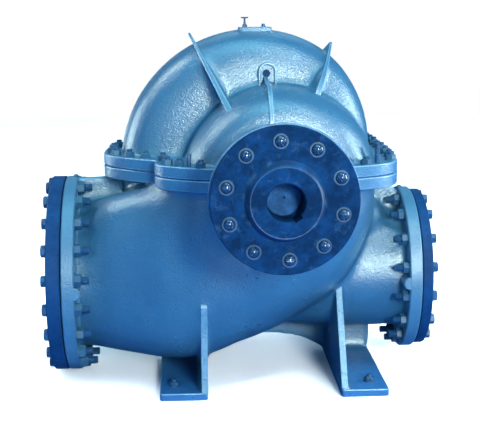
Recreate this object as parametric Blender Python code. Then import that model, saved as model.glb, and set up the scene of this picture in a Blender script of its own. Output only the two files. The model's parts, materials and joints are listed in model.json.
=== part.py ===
"""Horizontal split case pump with a double suction impeller, blanked off at both nozzles.

The casing is cast in two halves that meet at the height of the shaft. Pump axes: X runs from
the suction side to the discharge side, Y along the shaft away from the coupling, Z up. Their
zero point is on the floor under the middle of the casing. All lengths are in metres.
"""

from math import copysign, cos, pi, radians, sin

import bmesh
import bpy
from mathutils import Vector

# Main heights and clearances
SHAFT_HEIGHT = 0.732
NOZZLE_HEIGHT = 0.348
SEAT_GAP = 0.0003
SPLIT_GASKET = 0.003
SPLIT_FLANGE = 0.038

# Suction nozzle: 500 mm bore, 20 bolts
SUCTION_FACE = -0.680
SUCTION_RADIUS = 0.335
SUCTION_FLANGE = 0.042
SUCTION_PIPE = 0.252
SUCTION_BLIND = 0.046
SUCTION_BLIND_RADIUS = 0.335
SUCTION_BOLTS = 20
SUCTION_BOLT_CIRCLE = 0.310
SUCTION_BOLT_TURN = radians(1.4)
SUCTION_PLUG_X = -0.648

# Discharge nozzle: 400 mm bore, 16 bolts
DISCHARGE_FACE = 0.505
DISCHARGE_RADIUS = 0.280
DISCHARGE_FLANGE = 0.041
DISCHARGE_PIPE = 0.205
DISCHARGE_BLIND = 0.035
DISCHARGE_BLIND_RADIUS = 0.271
DISCHARGE_BOLTS = 16
DISCHARGE_BOLT_CIRCLE = 0.250
DISCHARGE_BOLT_TURN = 0.0
DISCHARGE_PLUG_X = 0.471

NOZZLE_GASKET = 0.003
BOLT_HEAD = 0.016
SUCTION_HEAD_RADIUS = 0.0205
DISCHARGE_HEAD_RADIUS = 0.0182
TAPPING_BOSS_RADIUS = 0.021
FLANGE_PLUG_RADIUS = 0.011

# Casing shells, as distances from the shaft's axis at angles from the discharge side, upwards
VOLUTE_RADII = {-15: 0.345, 0: 0.350, 30: 0.379, 60: 0.417, 90: 0.439, 120: 0.458, 150: 0.473, 180: 0.485,
                225: 0.505, 270: 0.530, 300: 0.545, 330: 0.500, 345: 0.345}
VOLUTE_HALF_WIDTH = 0.175
VOLUTE_CORE = 0.200
VOLUTE_ROUNDNESS = 3.1
BAND_HALF_WIDTH = 0.011
BAND_HEIGHT = 0.008
DOME_RADII = {-10: 0.350, 0: 0.345, 30: 0.320, 60: 0.290, 90: 0.270, 135: 0.259, 170: 0.273, 190: 0.283}
BELLY_RADII = {10: 0.368, -14: 0.376, -30: 0.403, -44: 0.434, -55: 0.464, -65: 0.491, -74: 0.509, -82: 0.536,
               -90: 0.570, -97: 0.604, -104: 0.642, -109: 0.664, -119: 0.670, -127: 0.625, -136: 0.562,
               -146: 0.500, -156: 0.440, -165: 0.390, -173: 0.355, -190: 0.330}
DOME_SECTION = ((0.250, 1.0), (0.300, 0.985), (0.345, 0.945), (0.380, 0.875), (0.410, 0.770), (0.428, 0.620))
BELLY_SECTION = ((0.080, 1.0), (0.160, 0.985), (0.220, 0.955), (0.280, 0.905), (0.330, 0.840),
                 (0.370, 0.760), (0.400, 0.670), (0.420, 0.570), (0.432, 0.420))

# The suction branch from its pipe into the belly: x, half width, bottom, top and squareness
SUCTION_BRANCH = ((-0.645, 0.252, 0.096, 0.600, 2.0), (-0.570, 0.255, 0.091, 0.604, 2.0),
                  (-0.510, 0.272, 0.086, 0.630, 2.1), (-0.450, 0.302, 0.082, 0.680, 2.3),
                  (-0.390, 0.338, 0.079, 0.730, 2.6), (-0.335, 0.372, 0.077, 0.757, 2.9),
                  (-0.283, 0.396, 0.078, 0.768, 3.2), (-0.220, 0.412, 0.087, 0.772, 3.1),
                  (-0.150, 0.420, 0.106, 0.772, 2.9), (-0.070, 0.415, 0.145, 0.770, 2.6),
                  (0.000, 0.380, 0.200, 0.760, 2.4))

# Half of the split flange's outline, from the suction side to the discharge side
SPLIT_OUTLINE = ((-0.549, 0.000), (-0.547, -0.070), (-0.520, -0.130), (-0.462, -0.190), (-0.376, -0.268),
                 (-0.372, -0.330), (-0.345, -0.385), (-0.285, -0.430), (-0.200, -0.468), (-0.150, -0.475),
                 (0.190, -0.475), (0.272, -0.450), (0.340, -0.418), (0.385, -0.375), (0.410, -0.310),
                 (0.415, -0.200), (0.415, 0.000))

# Ribs and pads on the upper casing
GUSSET_FOOT = 0.011
GUSSET_TIP = 0.004
CROWN_RIB_X = -0.010
ARCH_PAD = 0.030
ARCH_PAD_HEIGHT = 1.046
ARCH_PAD_FACE = 0.180
TAPPING_X = -0.004
TAPPING_HEIGHT = 1.040
TAPPING_RADIUS = 0.0115

# Feet
FOOT_END = 0.385
FOOT_THICKNESS = 0.025
LEFT_FOOT = (-0.368, -0.212)
RIGHT_FOOT = (0.224, 0.380)
RIB = 0.020
NECK_WEB = 0.015

# Shaft line, as distances from the middle of the casing
SHAFT_RADIUS = 0.053
SLEEVE_RADIUS = 0.064
CASING_BORE = 0.070
STUFFING_BOX_RADIUS = 0.150
STUFFING_BOX_END = 0.495
BRACKET_END = 0.700
BRACKET_RADIUS = 0.165
SLEEVE = (0.340, 0.560)
THROWER_RADIUS = 0.086
THROWER_END = 0.580
GLAND_PLATE = 0.020
TROUGH_RADIUS = 0.1455
HOUSING_START = 0.600
HOUSING_RADIUS = 0.135
HOUSING_BORE = 0.085
COVER = 0.015
COVER_RADIUS = 0.130
COVER_BORE = SHAFT_RADIUS + 0.0005
SHAFT_FRONT = -0.787
SHAFT_BACK = 0.708
END_COVER = 0.735

# Pump half of the coupling
COUPLING_FACE = -0.850
COUPLING_RADIUS = 0.209
COUPLING_THICKNESS = 0.047
BOSS_RADIUS = 0.112
BOSS_HEIGHT = 0.035
HUB_RADIUS = 0.098
HUB_BACK = -0.722
PIN_CIRCLE = 0.167
PIN_COUNT = 10
PIN_TURN = 0.0713
PIN_RADIUS = 0.0218
PIN_HOLE = 0.0222
PIN_DOME = 0.0176
PIN_RISE = 0.0165
KEY_WIDTH = 0.025
KEY_TOP = 0.0602
KEY_ANGLE = radians(-53.6)

# Vent on top of the casing
VENT_PAD = (-0.088, 0.028)
VENT_PAD_SIDE = 0.036
VENT_PAD_TOP = 1.1705
VENT_PLATE_TOP = 1.1855
VENT_COCK_X = -0.064
PRIMING_PLUG_X = -0.001
VENT_HANDLE_TOP = 1.220

CAST_BLUE = (0.045, 0.165, 0.370)
DARK_BLUE = (0.012, 0.055, 0.160)
STEEL_BLUE = (0.200, 0.390, 0.580)


def clear_scene():
    for obj in list(bpy.data.objects):
        bpy.data.objects.remove(obj)


def finish(name, colour, roughness, metallic):
    made = bpy.data.materials.get(name)
    if made:
        return made
    made = bpy.data.materials.new(name)
    made.use_nodes = True
    shader = made.node_tree.nodes["Principled BSDF"]
    shader.inputs["Base Color"].default_value = (*colour, 1.0)
    shader.inputs["Roughness"].default_value = roughness
    shader.inputs["Metallic"].default_value = metallic
    return made


def casting_paint():
    return finish("casting_paint", CAST_BLUE, 0.45, 0.0)


def dark_paint():
    return finish("dark_paint", DARK_BLUE, 0.40, 0.0)


def machined_steel():
    return finish("machined_steel", STEEL_BLUE, 0.30, 1.0)


def gasket_sheet():
    return finish("gasket_sheet", (0.010, 0.025, 0.060), 0.80, 0.0)


def empty(name, location, parent=None):
    made = bpy.data.objects.new(name, None)
    made.location = location
    made.parent = parent
    bpy.context.scene.collection.objects.link(made)
    return made


def piece(name, shape, material, parent, smooth_angle=None):
    """Turns a finished bmesh, built about its parent's axes, into an object."""
    bmesh.ops.recalc_face_normals(shape, faces=shape.faces)
    mesh = bpy.data.meshes.new(name)
    shape.to_mesh(mesh)
    shape.free()
    mesh.materials.append(material)
    if smooth_angle:
        mesh.shade_smooth()
        mesh.set_sharp_from_angle(angle=radians(smooth_angle))
    made = bpy.data.objects.new(name, mesh)
    made.parent = parent
    bpy.context.scene.collection.objects.link(made)
    return made


def combine(target, tool, operation="UNION"):
    """Joins a tool to the target, or cuts it out, and keeps the tool as a hidden guide."""
    modifier = target.modifiers.new(tool.name, "BOOLEAN")
    modifier.operation = operation
    modifier.object = tool
    tool.hide_render = True
    tool.display_type = "WIRE"


def loft(rings, capped=True):
    """Skins a run of equal rings. With capped unset, the last ring joins the first."""
    shape = bmesh.new()
    rows = [[shape.verts.new(point) for point in ring] for ring in rings]
    count = len(rows[0])
    pairs = list(zip(rows, rows[1:]))
    if not capped:
        pairs.append((rows[-1], rows[0]))
    for first, second in pairs:
        for i in range(count):
            j = (i + 1) % count
            shape.faces.new((first[i], first[j], second[j], second[i]))
    if capped:
        shape.faces.new(rows[0])
        shape.faces.new(rows[-1])
    return shape


def about(axis, radius, angle, along, centre=(0.0, 0.0)):
    """A point at a radius and an angle about an axis that passes through centre."""
    u, v = centre[0] + radius * cos(angle), centre[1] + radius * sin(angle)
    return {"X": (along, u, v), "Y": (u, along, v), "Z": (u, v, along)}[axis]


def turned(axis, profile, steps, centre=(0.0, 0.0), closed=False):
    """Turns a profile of (radius, place along the axis), solid in the middle or, closed, a ring."""
    rings = [
        [about(axis, radius, 2 * pi * k / steps, along, centre) for k in range(steps)]
        for radius, along in profile
    ]
    return loft(rings, capped=not closed)


def half_turned(profile, start, end, steps):
    """Turns a closed profile of (radius, y) part of the way round the shaft."""
    angles = [radians(start + (end - start) * k / steps) for k in range(steps + 1)]
    return loft([[about("Y", r, angle, y) for r, y in profile] for angle in angles])


def prism(axis, outline, low, high):
    """Extrudes a flat outline along an axis."""
    def point(u, v, w):
        return {"X": (w, u, v), "Y": (u, w, v), "Z": (u, v, w)}[axis]

    return loft([[point(u, v, low) for u, v in outline], [point(u, v, high) for u, v in outline]])


def block(low, high):
    outline = ((low[0], low[1]), (high[0], low[1]), (high[0], high[1]), (low[0], high[1]))
    return prism("Z", outline, low[2], high[2])


def moved(shape, offset):
    bmesh.ops.translate(shape, verts=shape.verts, vec=offset)
    return shape


def read_radius(radii, angle):
    """Reads a smooth curve through radii given at angles in degrees."""
    stations = sorted(radii)
    angle = min(max(angle, stations[0]), stations[-1])
    i = max(k for k in range(len(stations) - 1) if stations[k] <= angle)
    a, b = stations[i], stations[i + 1]
    before = stations[max(i - 1, 0)]
    after = stations[min(i + 2, len(stations) - 1)]
    span = b - a
    slope_a = (radii[b] - radii[before]) / (b - before)
    slope_b = (radii[after] - radii[a]) / (after - a)
    t = (angle - a) / span
    return (
        (2 * t**3 - 3 * t**2 + 1) * radii[a]
        + (t**3 - 2 * t**2 + t) * span * slope_a
        + (3 * t**2 - 2 * t**3) * radii[b]
        + (t**3 - t**2) * span * slope_b
    )


def shell_ring(radii, start, end, steps, y, scale):
    """One outline round the shaft, from one angle to another, in the plane at y."""
    ring = []
    for k in range(steps + 1):
        angle = start + (end - start) * k / steps
        ring.append(about("Y", scale(read_radius(radii, angle)), radians(angle), y, (0.0, SHAFT_HEIGHT)))
    return ring


def chamber(radii, section, start, end, steps):
    """A suction chamber that bulges to both sides of the volute."""
    levels = [(-y, s) for y, s in reversed(section)] + list(section)
    rings = [shell_ring(radii, start, end, steps, y, lambda r, s=s: r * s) for y, s in levels]
    return loft(rings)


def volute(start, end, steps):
    """The spiral shell in the middle, with rounded shoulders."""
    slices = 6
    rings = []
    for k in range(-slices, slices + 1):
        turn = k / slices * pi / 2
        y = VOLUTE_HALF_WIDTH * (1 if k > 0 else -1) * abs(sin(turn)) ** (2 / VOLUTE_ROUNDNESS)
        share = max(cos(turn), 0.0) ** (2 / VOLUTE_ROUNDNESS)
        rings.append(
            shell_ring(VOLUTE_RADII, start, end, steps, y,
                       lambda r, share=share: VOLUTE_CORE + (r - VOLUTE_CORE) * share)
        )
    return loft(rings)


def volute_band(start, end, steps):
    ring = [
        shell_ring(VOLUTE_RADII, start, end, steps, y, lambda r: r + BAND_HEIGHT)
        for y in (-BAND_HALF_WIDTH, BAND_HALF_WIDTH)
    ]
    return loft(ring)


def split_outline(inset=0.0):
    front = [(x - inset * (1 if x > 0 else -1), y + inset * (y < 0)) for x, y in SPLIT_OUTLINE]
    back = [(x, -y) for x, y in front[-2:0:-1]]
    return front + back


def clipped(outline, side, limit):
    """The part of an outline that lies beyond x = limit on one side (-1 or 1)."""
    kept = []
    for (x0, y0), (x1, y1) in zip(outline, outline[1:] + outline[:1]):
        inside0, inside1 = side * x0 > side * limit, side * x1 > side * limit
        if inside0:
            kept.append((x0, y0))
        if inside0 != inside1:
            kept.append((limit, y0 + (y1 - y0) * (limit - x0) / (x1 - x0)))
    return kept


def split_flange(low, high):
    return prism("Z", split_outline(), low, high)


def stuffing_boxes():
    profile = ((STUFFING_BOX_RADIUS, -STUFFING_BOX_END), (STUFFING_BOX_RADIUS, STUFFING_BOX_END))
    return turned("Y", profile, 32, (0.0, SHAFT_HEIGHT))


def casing_bore():
    return turned("Y", ((CASING_BORE, -0.6), (CASING_BORE, 0.6)), 28, (0.0, SHAFT_HEIGHT))


def branch(stations, steps):
    """Skins rounded sections that grow from a round pipe into a squarer, wider chamber."""
    rings = []
    for x, half_width, bottom, top, squareness in stations:
        middle, half_height, power = (top + bottom) / 2, (top - bottom) / 2, 2 / squareness
        ring = []
        for k in range(steps):
            c, s = cos(2 * pi * k / steps), sin(2 * pi * k / steps)
            y = half_width * copysign(abs(c) ** power, c)
            z = middle + half_height * copysign(abs(s) ** power, s)
            ring.append((x, y, z))
        rings.append(ring)
    return loft(rings)


def tapping_boss(x, radius):
    """A boss for a gauge on the front of a nozzle flange, level with the flange's rim."""
    return turned("Y", ((TAPPING_BOSS_RADIUS, -radius + 0.130), (TAPPING_BOSS_RADIUS, -radius + 0.003)), 16,
                  (x, NOZZLE_HEIGHT))


def half_space(low_z, high_z):
    return block((-1.0, -1.0, low_z), (1.0, 1.0, high_z))


def nozzle(face, flange, flange_radius, pipe):
    """A nozzle's pipe and its flange. The pipe is a list of (radius, x) from the flange inwards."""
    side = 1 if face > 0 else -1
    back = face - side * flange
    profile = [(flange_radius, face), (flange_radius, back), (pipe[0][0] + 0.014, back)] + pipe
    return turned("X", profile, 48, (0.0, NOZZLE_HEIGHT))


def build_lower_casing(axes):
    paint = casting_paint()
    top = SHAFT_HEIGHT - SPLIT_GASKET / 2 - SEAT_GAP
    casing = piece("lower_casing", chamber(BELLY_RADII, BELLY_SECTION, 10, -190, 34), paint, axes, 40)
    suction = [(SUCTION_PIPE, -0.620), (0.200, -0.600)]
    discharge = [(DISCHARGE_PIPE, 0.450), (DISCHARGE_PIPE, 0.250), (0.190, 0.050)]
    left_rib = ((-FOOT_END, 0.004), (FOOT_END, 0.004), (FOOT_END, 0.290), (0.320, 0.380), (-0.320, 0.380),
                (-FOOT_END, 0.290))
    right_rib = ((-FOOT_END, 0.004), (FOOT_END, 0.004), (FOOT_END, 0.034), (0.165, 0.410), (-0.165, 0.410),
                 (-FOOT_END, 0.034))
    arch = ((-0.360, 0.010), (-0.222, 0.010), (-0.150, 0.058), (-0.060, 0.078), (0.020, 0.082),
            (0.100, 0.074), (0.150, 0.060), (0.200, 0.034), (0.234, 0.010), (0.379, 0.010),
            (0.388, 0.060), (0.388, 0.300), (-0.350, 0.300))
    suction_web = ((-0.655, 0.560), (-0.655, 0.680), (-0.549, 0.684), (-0.520, 0.705), (-0.430, 0.705),
                   (-0.430, 0.560))
    discharge_web = ((0.300, 0.500), (0.480, 0.500), (0.480, 0.620), (0.455, 0.624), (0.430, 0.655),
                     (0.405, 0.705), (0.300, 0.705))
    parts = {
        "lower_volute": volute(170, 345, 22),
        "lower_volute_band": volute_band(170, 300, 20),
        "suction_nozzle": nozzle(SUCTION_FACE, SUCTION_FLANGE, SUCTION_RADIUS, suction),
        "discharge_nozzle": nozzle(DISCHARGE_FACE, DISCHARGE_FLANGE, DISCHARGE_RADIUS, discharge),
        "lower_split_flange": split_flange(SHAFT_HEIGHT - SPLIT_FLANGE, SHAFT_HEIGHT + 0.01),
        "lower_stuffing_boxes": stuffing_boxes(),
        "left_foot": block((LEFT_FOOT[0], -FOOT_END, 0.0), (LEFT_FOOT[1], FOOT_END, FOOT_THICKNESS)),
        "right_foot": block((RIGHT_FOOT[0], -FOOT_END, 0.0), (RIGHT_FOOT[1], FOOT_END, FOOT_THICKNESS)),
        "left_foot_rib": prism("X", left_rib, LEFT_FOOT[1] - RIB, LEFT_FOOT[1] - 0.0005),
        "right_foot_rib": prism("X", right_rib, RIGHT_FOOT[0] + 0.0005, RIGHT_FOOT[0] + RIB),
        "arched_web": prism("Y", arch, 0.100, 0.130),
        "suction_web": prism("Y", suction_web, -NECK_WEB, NECK_WEB),
        "discharge_web": prism("Y", discharge_web, -NECK_WEB, NECK_WEB),
        "suction_branch": branch(SUCTION_BRANCH, 32),
        "suction_tapping_boss": tapping_boss(SUCTION_FACE + SUCTION_FLANGE, SUCTION_RADIUS),
        "discharge_tapping_boss": tapping_boss(DISCHARGE_FACE - DISCHARGE_FLANGE, DISCHARGE_RADIUS),
    }
    for name, shape in parts.items():
        combine(casing, piece(name, shape, paint, axes, 40))
    combine(casing, piece("above_the_split", half_space(top, 2.0), paint, axes), "DIFFERENCE")
    combine(casing, piece("lower_bore", casing_bore(), paint, axes), "DIFFERENCE")


def gusset(foot, tip, edge, name, axes):
    """A cast rib that stands across the casing, from both suction domes up to one tip above the rim.

    Its edge is a list of (share of the way up, distance from the middle plane).
    """
    up = Vector((tip[0] - foot[0], 0.0, tip[1] - foot[1]))
    across = Vector((-up.z, 0.0, up.x)).normalized()
    outline = [(share, y) for share, y in edge] + [(share, -y) for share, y in reversed(edge)]
    rings = []
    for side in (-1, 1):
        ring = []
        for share, y in outline:
            half = GUSSET_FOOT + (GUSSET_TIP - GUSSET_FOOT) * min(max(share, 0.0), 1.0)
            ring.append(Vector((foot[0], y, foot[1])) + up * share + across * half * side)
        rings.append(ring)
    return piece(name, loft(rings), casting_paint(), axes)


def build_upper_casing(axes):
    paint = casting_paint()
    bottom = SHAFT_HEIGHT + SPLIT_GASKET / 2 + SEAT_GAP
    casing = piece("upper_casing", volute(-12, 192, 32), paint, axes, 40)
    arch_top = [about("Y", ARCH_PAD, radians(a), 0.0, (0.0, ARCH_PAD_HEIGHT))[::2] for a in range(0, 181, 30)]
    arch = [(ARCH_PAD, 0.960)] + arch_top + [(-ARCH_PAD, 0.960)]
    crown_rib = ((-0.430, 0.900), (-0.422, 0.930), (-0.385, 0.985), (-0.330, 1.010), (-0.150, 1.013),
                 (0.150, 1.013), (0.330, 1.010), (0.385, 0.985), (0.422, 0.930), (0.430, 0.900))
    parts = {
        "upper_volute_band": volute_band(-10, 190, 40),
        "suction_domes": chamber(DOME_RADII, DOME_SECTION, -10, 190, 32),
        "upper_split_flange": split_flange(SHAFT_HEIGHT - 0.01, SHAFT_HEIGHT + SPLIT_FLANGE),
        "upper_stuffing_boxes": stuffing_boxes(),
        "crown_rib": prism("X", crown_rib, CROWN_RIB_X - 0.006, CROWN_RIB_X + 0.006),
        "arch_pads": prism("Y", arch, -ARCH_PAD_FACE, ARCH_PAD_FACE),
        "vent_pad": block((VENT_PAD[0], -VENT_PAD_SIDE, 1.120), (VENT_PAD[1], VENT_PAD_SIDE, VENT_PAD_TOP)),
    }
    for name, shape in parts.items():
        combine(casing, piece(name, shape, paint, axes, 40))
    left_edge = ((-0.25, 0.330), (-0.06, 0.372), (0.02, 0.358), (0.40, 0.240), (0.70, 0.150), (0.90, 0.055),
                 (1.00, 0.008))
    right_edge = ((-0.20, 0.240), (-0.03, 0.290), (0.12, 0.280), (0.40, 0.218), (0.70, 0.130), (0.90, 0.045),
                  (1.00, 0.007))
    combine(casing, gusset((-0.128, 0.928), (-0.253, 1.168), left_edge, "left_gusset", axes))
    combine(casing, gusset((0.146, 0.962), (0.231, 1.133), right_edge, "right_gusset", axes))
    combine(casing, piece("below_the_split", half_space(-1.0, bottom), paint, axes), "DIFFERENCE")
    combine(casing, piece("upper_bore", casing_bore(), paint, axes), "DIFFERENCE")
    milled = block((VENT_PAD[0], -VENT_PAD_SIDE, VENT_PAD_TOP), (VENT_PAD[1], VENT_PAD_SIDE, 1.3))
    combine(casing, piece("milled_vent_pad", milled, paint, axes), "DIFFERENCE")
    hole = turned("Y", ((TAPPING_RADIUS, -0.25), (TAPPING_RADIUS, -0.160)), 16, (TAPPING_X, TAPPING_HEIGHT))
    combine(casing, piece("arch_pad_hole", hole, paint, axes), "DIFFERENCE")


def build_gaskets(axes):
    low = SHAFT_HEIGHT - SPLIT_GASKET / 2
    for name, side in (("suction_side_gasket", -1), ("discharge_side_gasket", 1)):
        outline = clipped(split_outline(0.002), side, side * (CASING_BORE + 0.002))
        piece(name, prism("Z", outline, low, low + SPLIT_GASKET), gasket_sheet(), axes)


def bolt_heads(axes, name, face, side, count, circle, head_radius, turn):
    """Hexagon heads on a blind flange, each sunk a little way into it."""
    heads = bmesh.new()
    for k in range(count):
        angle = 2 * pi * (k + 0.5) / count + turn
        y, z = circle * cos(angle), NOZZLE_HEIGHT + circle * sin(angle)
        low, high = sorted((face - side * 0.01, face + side * BOLT_HEAD))
        head = turned("X", ((head_radius, low), (head_radius, high)), 6, (y, z))
        mesh = bpy.data.meshes.new("head")
        head.to_mesh(mesh)
        head.free()
        heads.from_mesh(mesh)
        bpy.data.meshes.remove(mesh)
    return piece(name, heads, dark_paint(), axes)


def build_blind_flange(axes, name, face, thickness, radius, count, circle, head_radius, turn):
    """A gasket and a blind flange with its bolt heads, outside a nozzle's face."""
    side = 1 if face > 0 else -1
    gasket = (face + side * SEAT_GAP, face + side * (SEAT_GAP + NOZZLE_GASKET))
    ring_in, ring_out = radius * 0.72, circle - 0.020
    ring = ((ring_out, gasket[0]), (ring_out, gasket[1]), (ring_in, gasket[1]), (ring_in, gasket[0]))
    centre = (0.0, NOZZLE_HEIGHT)
    piece(name + "_flange_gasket", turned("X", ring, 48, centre, closed=True), gasket_sheet(), axes)
    inner = gasket[1] + side * SEAT_GAP
    outer = inner + side * thickness
    profile = ((radius - 0.003, inner), (radius, inner + side * 0.003), (radius, outer - side * 0.003),
               (radius - 0.003, outer))
    blind = piece(name + "_blind_flange", turned("X", profile, 48, centre), dark_paint(), axes, 40)
    combine(blind, bolt_heads(axes, name + "_heads", outer, side, count, circle, head_radius, turn))


def build_shaft(rotor):
    profile = ((SHAFT_RADIUS - 0.002, SHAFT_FRONT), (SHAFT_RADIUS, SHAFT_FRONT + 0.002),
               (SHAFT_RADIUS, SHAFT_BACK - 0.002), (SHAFT_RADIUS - 0.002, SHAFT_BACK))
    piece("shaft", turned("Y", profile, 32), machined_steel(), rotor, 40)
    sleeve_in = SHAFT_RADIUS + SEAT_GAP
    for name, side in (("drive_end", -1), ("non_drive_end", 1)):
        near, far, end = side * SLEEVE[0], side * SLEEVE[1], side * THROWER_END
        ring = ((sleeve_in, near), (SLEEVE_RADIUS, near), (SLEEVE_RADIUS, far), (sleeve_in, far))
        piece(name + "_shaft_sleeve", turned("Y", ring, 32, closed=True), machined_steel(), rotor, 40)
        start = far + side * SEAT_GAP
        ring = ((sleeve_in, start), (THROWER_RADIUS - 0.008, start), (THROWER_RADIUS, end - side * 0.006),
                (THROWER_RADIUS, end), (sleeve_in, end))
        piece(name + "_thrower_ring", turned("Y", ring, 32, closed=True), machined_steel(), rotor, 40)


def key_outline(half_width, low, high):
    """A key's section in the X and Z directions, turned to the keyway's angle."""
    outward = Vector((cos(KEY_ANGLE), sin(KEY_ANGLE)))
    sideways = Vector((-sin(KEY_ANGLE), cos(KEY_ANGLE)))
    corners = ((low, -half_width), (high, -half_width), (high, half_width), (low, half_width))
    return [tuple(outward * r + sideways * w) for r, w in corners]


def pin_places():
    for k in range(PIN_COUNT):
        angle = pi / 2 + PIN_TURN + 2 * pi * k / PIN_COUNT
        yield PIN_CIRCLE * cos(angle), PIN_CIRCLE * sin(angle)


def build_coupling(rotor):
    back = COUPLING_FACE + COUPLING_THICKNESS
    bore = SHAFT_RADIUS + SEAT_GAP
    profile = (
        (bore + 0.003, COUPLING_FACE - BOSS_HEIGHT), (BOSS_RADIUS - 0.006, COUPLING_FACE - BOSS_HEIGHT),
        (BOSS_RADIUS - 0.002, COUPLING_FACE - BOSS_HEIGHT + 0.004), (BOSS_RADIUS, COUPLING_FACE),
        (COUPLING_RADIUS - 0.003, COUPLING_FACE), (COUPLING_RADIUS, COUPLING_FACE + 0.003),
        (COUPLING_RADIUS, back), (HUB_RADIUS + 0.010, back), (HUB_RADIUS, back + 0.010),
        (HUB_RADIUS, HUB_BACK), (bore, HUB_BACK), (bore, COUPLING_FACE - BOSS_HEIGHT + 0.003),
    )
    half = piece("coupling_half", turned("Y", profile, 56, closed=True), dark_paint(), rotor, 40)
    for k, (x, z) in enumerate(pin_places()):
        hole = turned("Y", ((PIN_HOLE, COUPLING_FACE - 0.02), (PIN_HOLE, back + 0.02)), 16, (x, z))
        combine(half, piece(f"pin_hole_{k + 1:02d}", hole, dark_paint(), rotor), "DIFFERENCE")
    slot = prism("Y", key_outline(KEY_WIDTH / 2, 0.040, KEY_TOP), -1.0, -0.6)
    combine(half, piece("keyway", slot, dark_paint(), rotor), "DIFFERENCE")
    for k, (x, z) in enumerate(pin_places()):
        face = COUPLING_FACE + 0.002
        profile = [(PIN_DOME * sin(radians(a)), face - PIN_RISE * cos(radians(a))) for a in (8, 35, 62, 88)]
        profile += [(PIN_RADIUS, face + 0.001), (PIN_RADIUS, back + 0.001), (PIN_DOME, back + 0.001),
                    (PIN_DOME, back + 0.016)]
        pin = turned("Y", profile, 12, (x, z))
        piece(f"coupling_pin_{k + 1:02d}", pin, machined_steel(), rotor, 40)


def build_shaft_end(axes, name, side):
    """Gland, bearing bracket, bearing cap and cover at one end of the casing."""
    centre = (0.0, 0.0, SHAFT_HEIGHT)
    start = side * (STUFFING_BOX_END + SEAT_GAP)
    gland_end = start + side * GLAND_PLATE
    ears = [(0.128, -0.022), (0.128, 0.022), (0.074, 0.082), (0.030, 0.102), (-0.030, 0.102), (-0.074, 0.082),
            (-0.128, 0.022), (-0.128, -0.022), (-0.074, -0.082), (-0.030, -0.102), (0.030, -0.102),
            (0.074, -0.082)]
    plate = moved(prism("Y", ears, min(start, gland_end), max(start, gland_end)), centre)
    gland = piece(name + "_gland_follower", plate, machined_steel(), axes)
    combine(gland, piece(name + "_gland_bore", casing_bore(), machined_steel(), axes), "DIFFERENCE")

    house, end = side * HOUSING_START, side * BRACKET_END
    trough = ((TROUGH_RADIUS, start), (0.185, start), (0.185, start + side * 0.024),
              (BRACKET_RADIUS, start + side * 0.030), (BRACKET_RADIUS, house),
              (HOUSING_RADIUS, house + side * 0.020), (HOUSING_RADIUS, end), (HOUSING_BORE, end),
              (HOUSING_BORE, house + side * 0.004), (TROUGH_RADIUS, house - side * 0.004))
    flip = 0.15
    shape = moved(half_turned(trough, -180 + flip, -flip, 20), centre)
    piece(name + "_bearing_bracket", shape, casting_paint(), axes, 40)
    cap_start = house + side * 0.006
    cap = ((HOUSING_BORE, cap_start), (HOUSING_RADIUS, cap_start), (HOUSING_RADIUS, end), (HOUSING_BORE, end))
    shape = moved(half_turned(cap, flip, 180 - flip, 20), centre)
    piece(name + "_bearing_cap", shape, casting_paint(), axes, 40)

    seat = end + side * SEAT_GAP
    if side < 0:
        face = seat + side * COVER
        ring = ((COVER_BORE, seat), (COVER_RADIUS, seat), (COVER_RADIUS, face), (COVER_BORE, face))
        cover = turned("Y", ring, 32, centre[::2], closed=True)
    else:
        depth = END_COVER - 0.012
        cup = ((COVER_RADIUS, seat), (COVER_RADIUS, seat + 0.012), (0.100, seat + 0.014),
               (0.094, END_COVER - 0.004), (0.088, END_COVER), (0.0, END_COVER))
        cover = cup_with_pocket(cup, depth, centre[::2], seat)
    piece(name + "_bearing_cover", cover, casting_paint(), axes, 40)


def cup_with_pocket(outer, depth, centre, seat):
    """A closed end cover whose pocket holds the shaft's end."""
    profile = [(COVER_BORE, seat)] + [(r, y) for r, y in outer[:-1]]
    profile += [(0.004, outer[-1][1]), (0.004, depth), (COVER_BORE, depth)]
    return turned("Y", profile, 32, centre, closed=True)


def build_vent(axes, cock):
    low = (VENT_PAD[0] + 0.002, 0.003 - VENT_PAD_SIDE, VENT_PAD_TOP + SEAT_GAP)
    plate = block(low, (VENT_PAD[1] - 0.002, VENT_PAD_SIDE - 0.003, VENT_PLATE_TOP))
    piece("vent_plate", plate, casting_paint(), axes)
    seat = VENT_PLATE_TOP + SEAT_GAP
    body = ((0.0085, seat), (0.0085, seat + 0.008), (0.0065, seat + 0.011))
    piece("vent_cock_body", turned("Z", body, 6, (VENT_COCK_X, 0.0)), machined_steel(), axes)
    plug = ((0.0085, seat), (0.0085, seat + 0.004), (0.0060, seat + 0.005), (0.0060, seat + 0.011))
    piece("priming_plug", turned("Z", plug, 8, (PRIMING_PLUG_X, 0.0)), machined_steel(), axes)
    top = VENT_HANDLE_TOP - (seat + 0.011 + SEAT_GAP)
    rod = turned("Z", ((0.0040, 0.0), (0.0040, top - 0.001)), 10)
    stem = piece("vent_cock_handle", rod, machined_steel(), cock)
    bar = block((-0.0125, -0.0028, top - 0.0045), (0.0125, 0.0028, top))
    combine(stem, piece("vent_handle_bar", bar, machined_steel(), cock))


def build_plugs(axes):
    steel = machined_steel()
    radius = TAPPING_RADIUS - 0.0005
    flush = turned("Y", ((radius, -0.1603), (radius, -0.172)), 16, (TAPPING_X, TAPPING_HEIGHT))
    piece("casing_tapping_plug", flush, steel, axes)
    places = (("suction", SUCTION_PLUG_X, SUCTION_RADIUS), ("discharge", DISCHARGE_PLUG_X, DISCHARGE_RADIUS))
    for name, x, radius in places:
        top = NOZZLE_HEIGHT + radius + SEAT_GAP
        profile = ((FLANGE_PLUG_RADIUS, top), (FLANGE_PLUG_RADIUS, top + 0.006), (0.008, top + 0.008))
        piece(name + "_flange_plug", turned("Z", profile, 6, (x, 0.0)), steel, axes)


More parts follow.
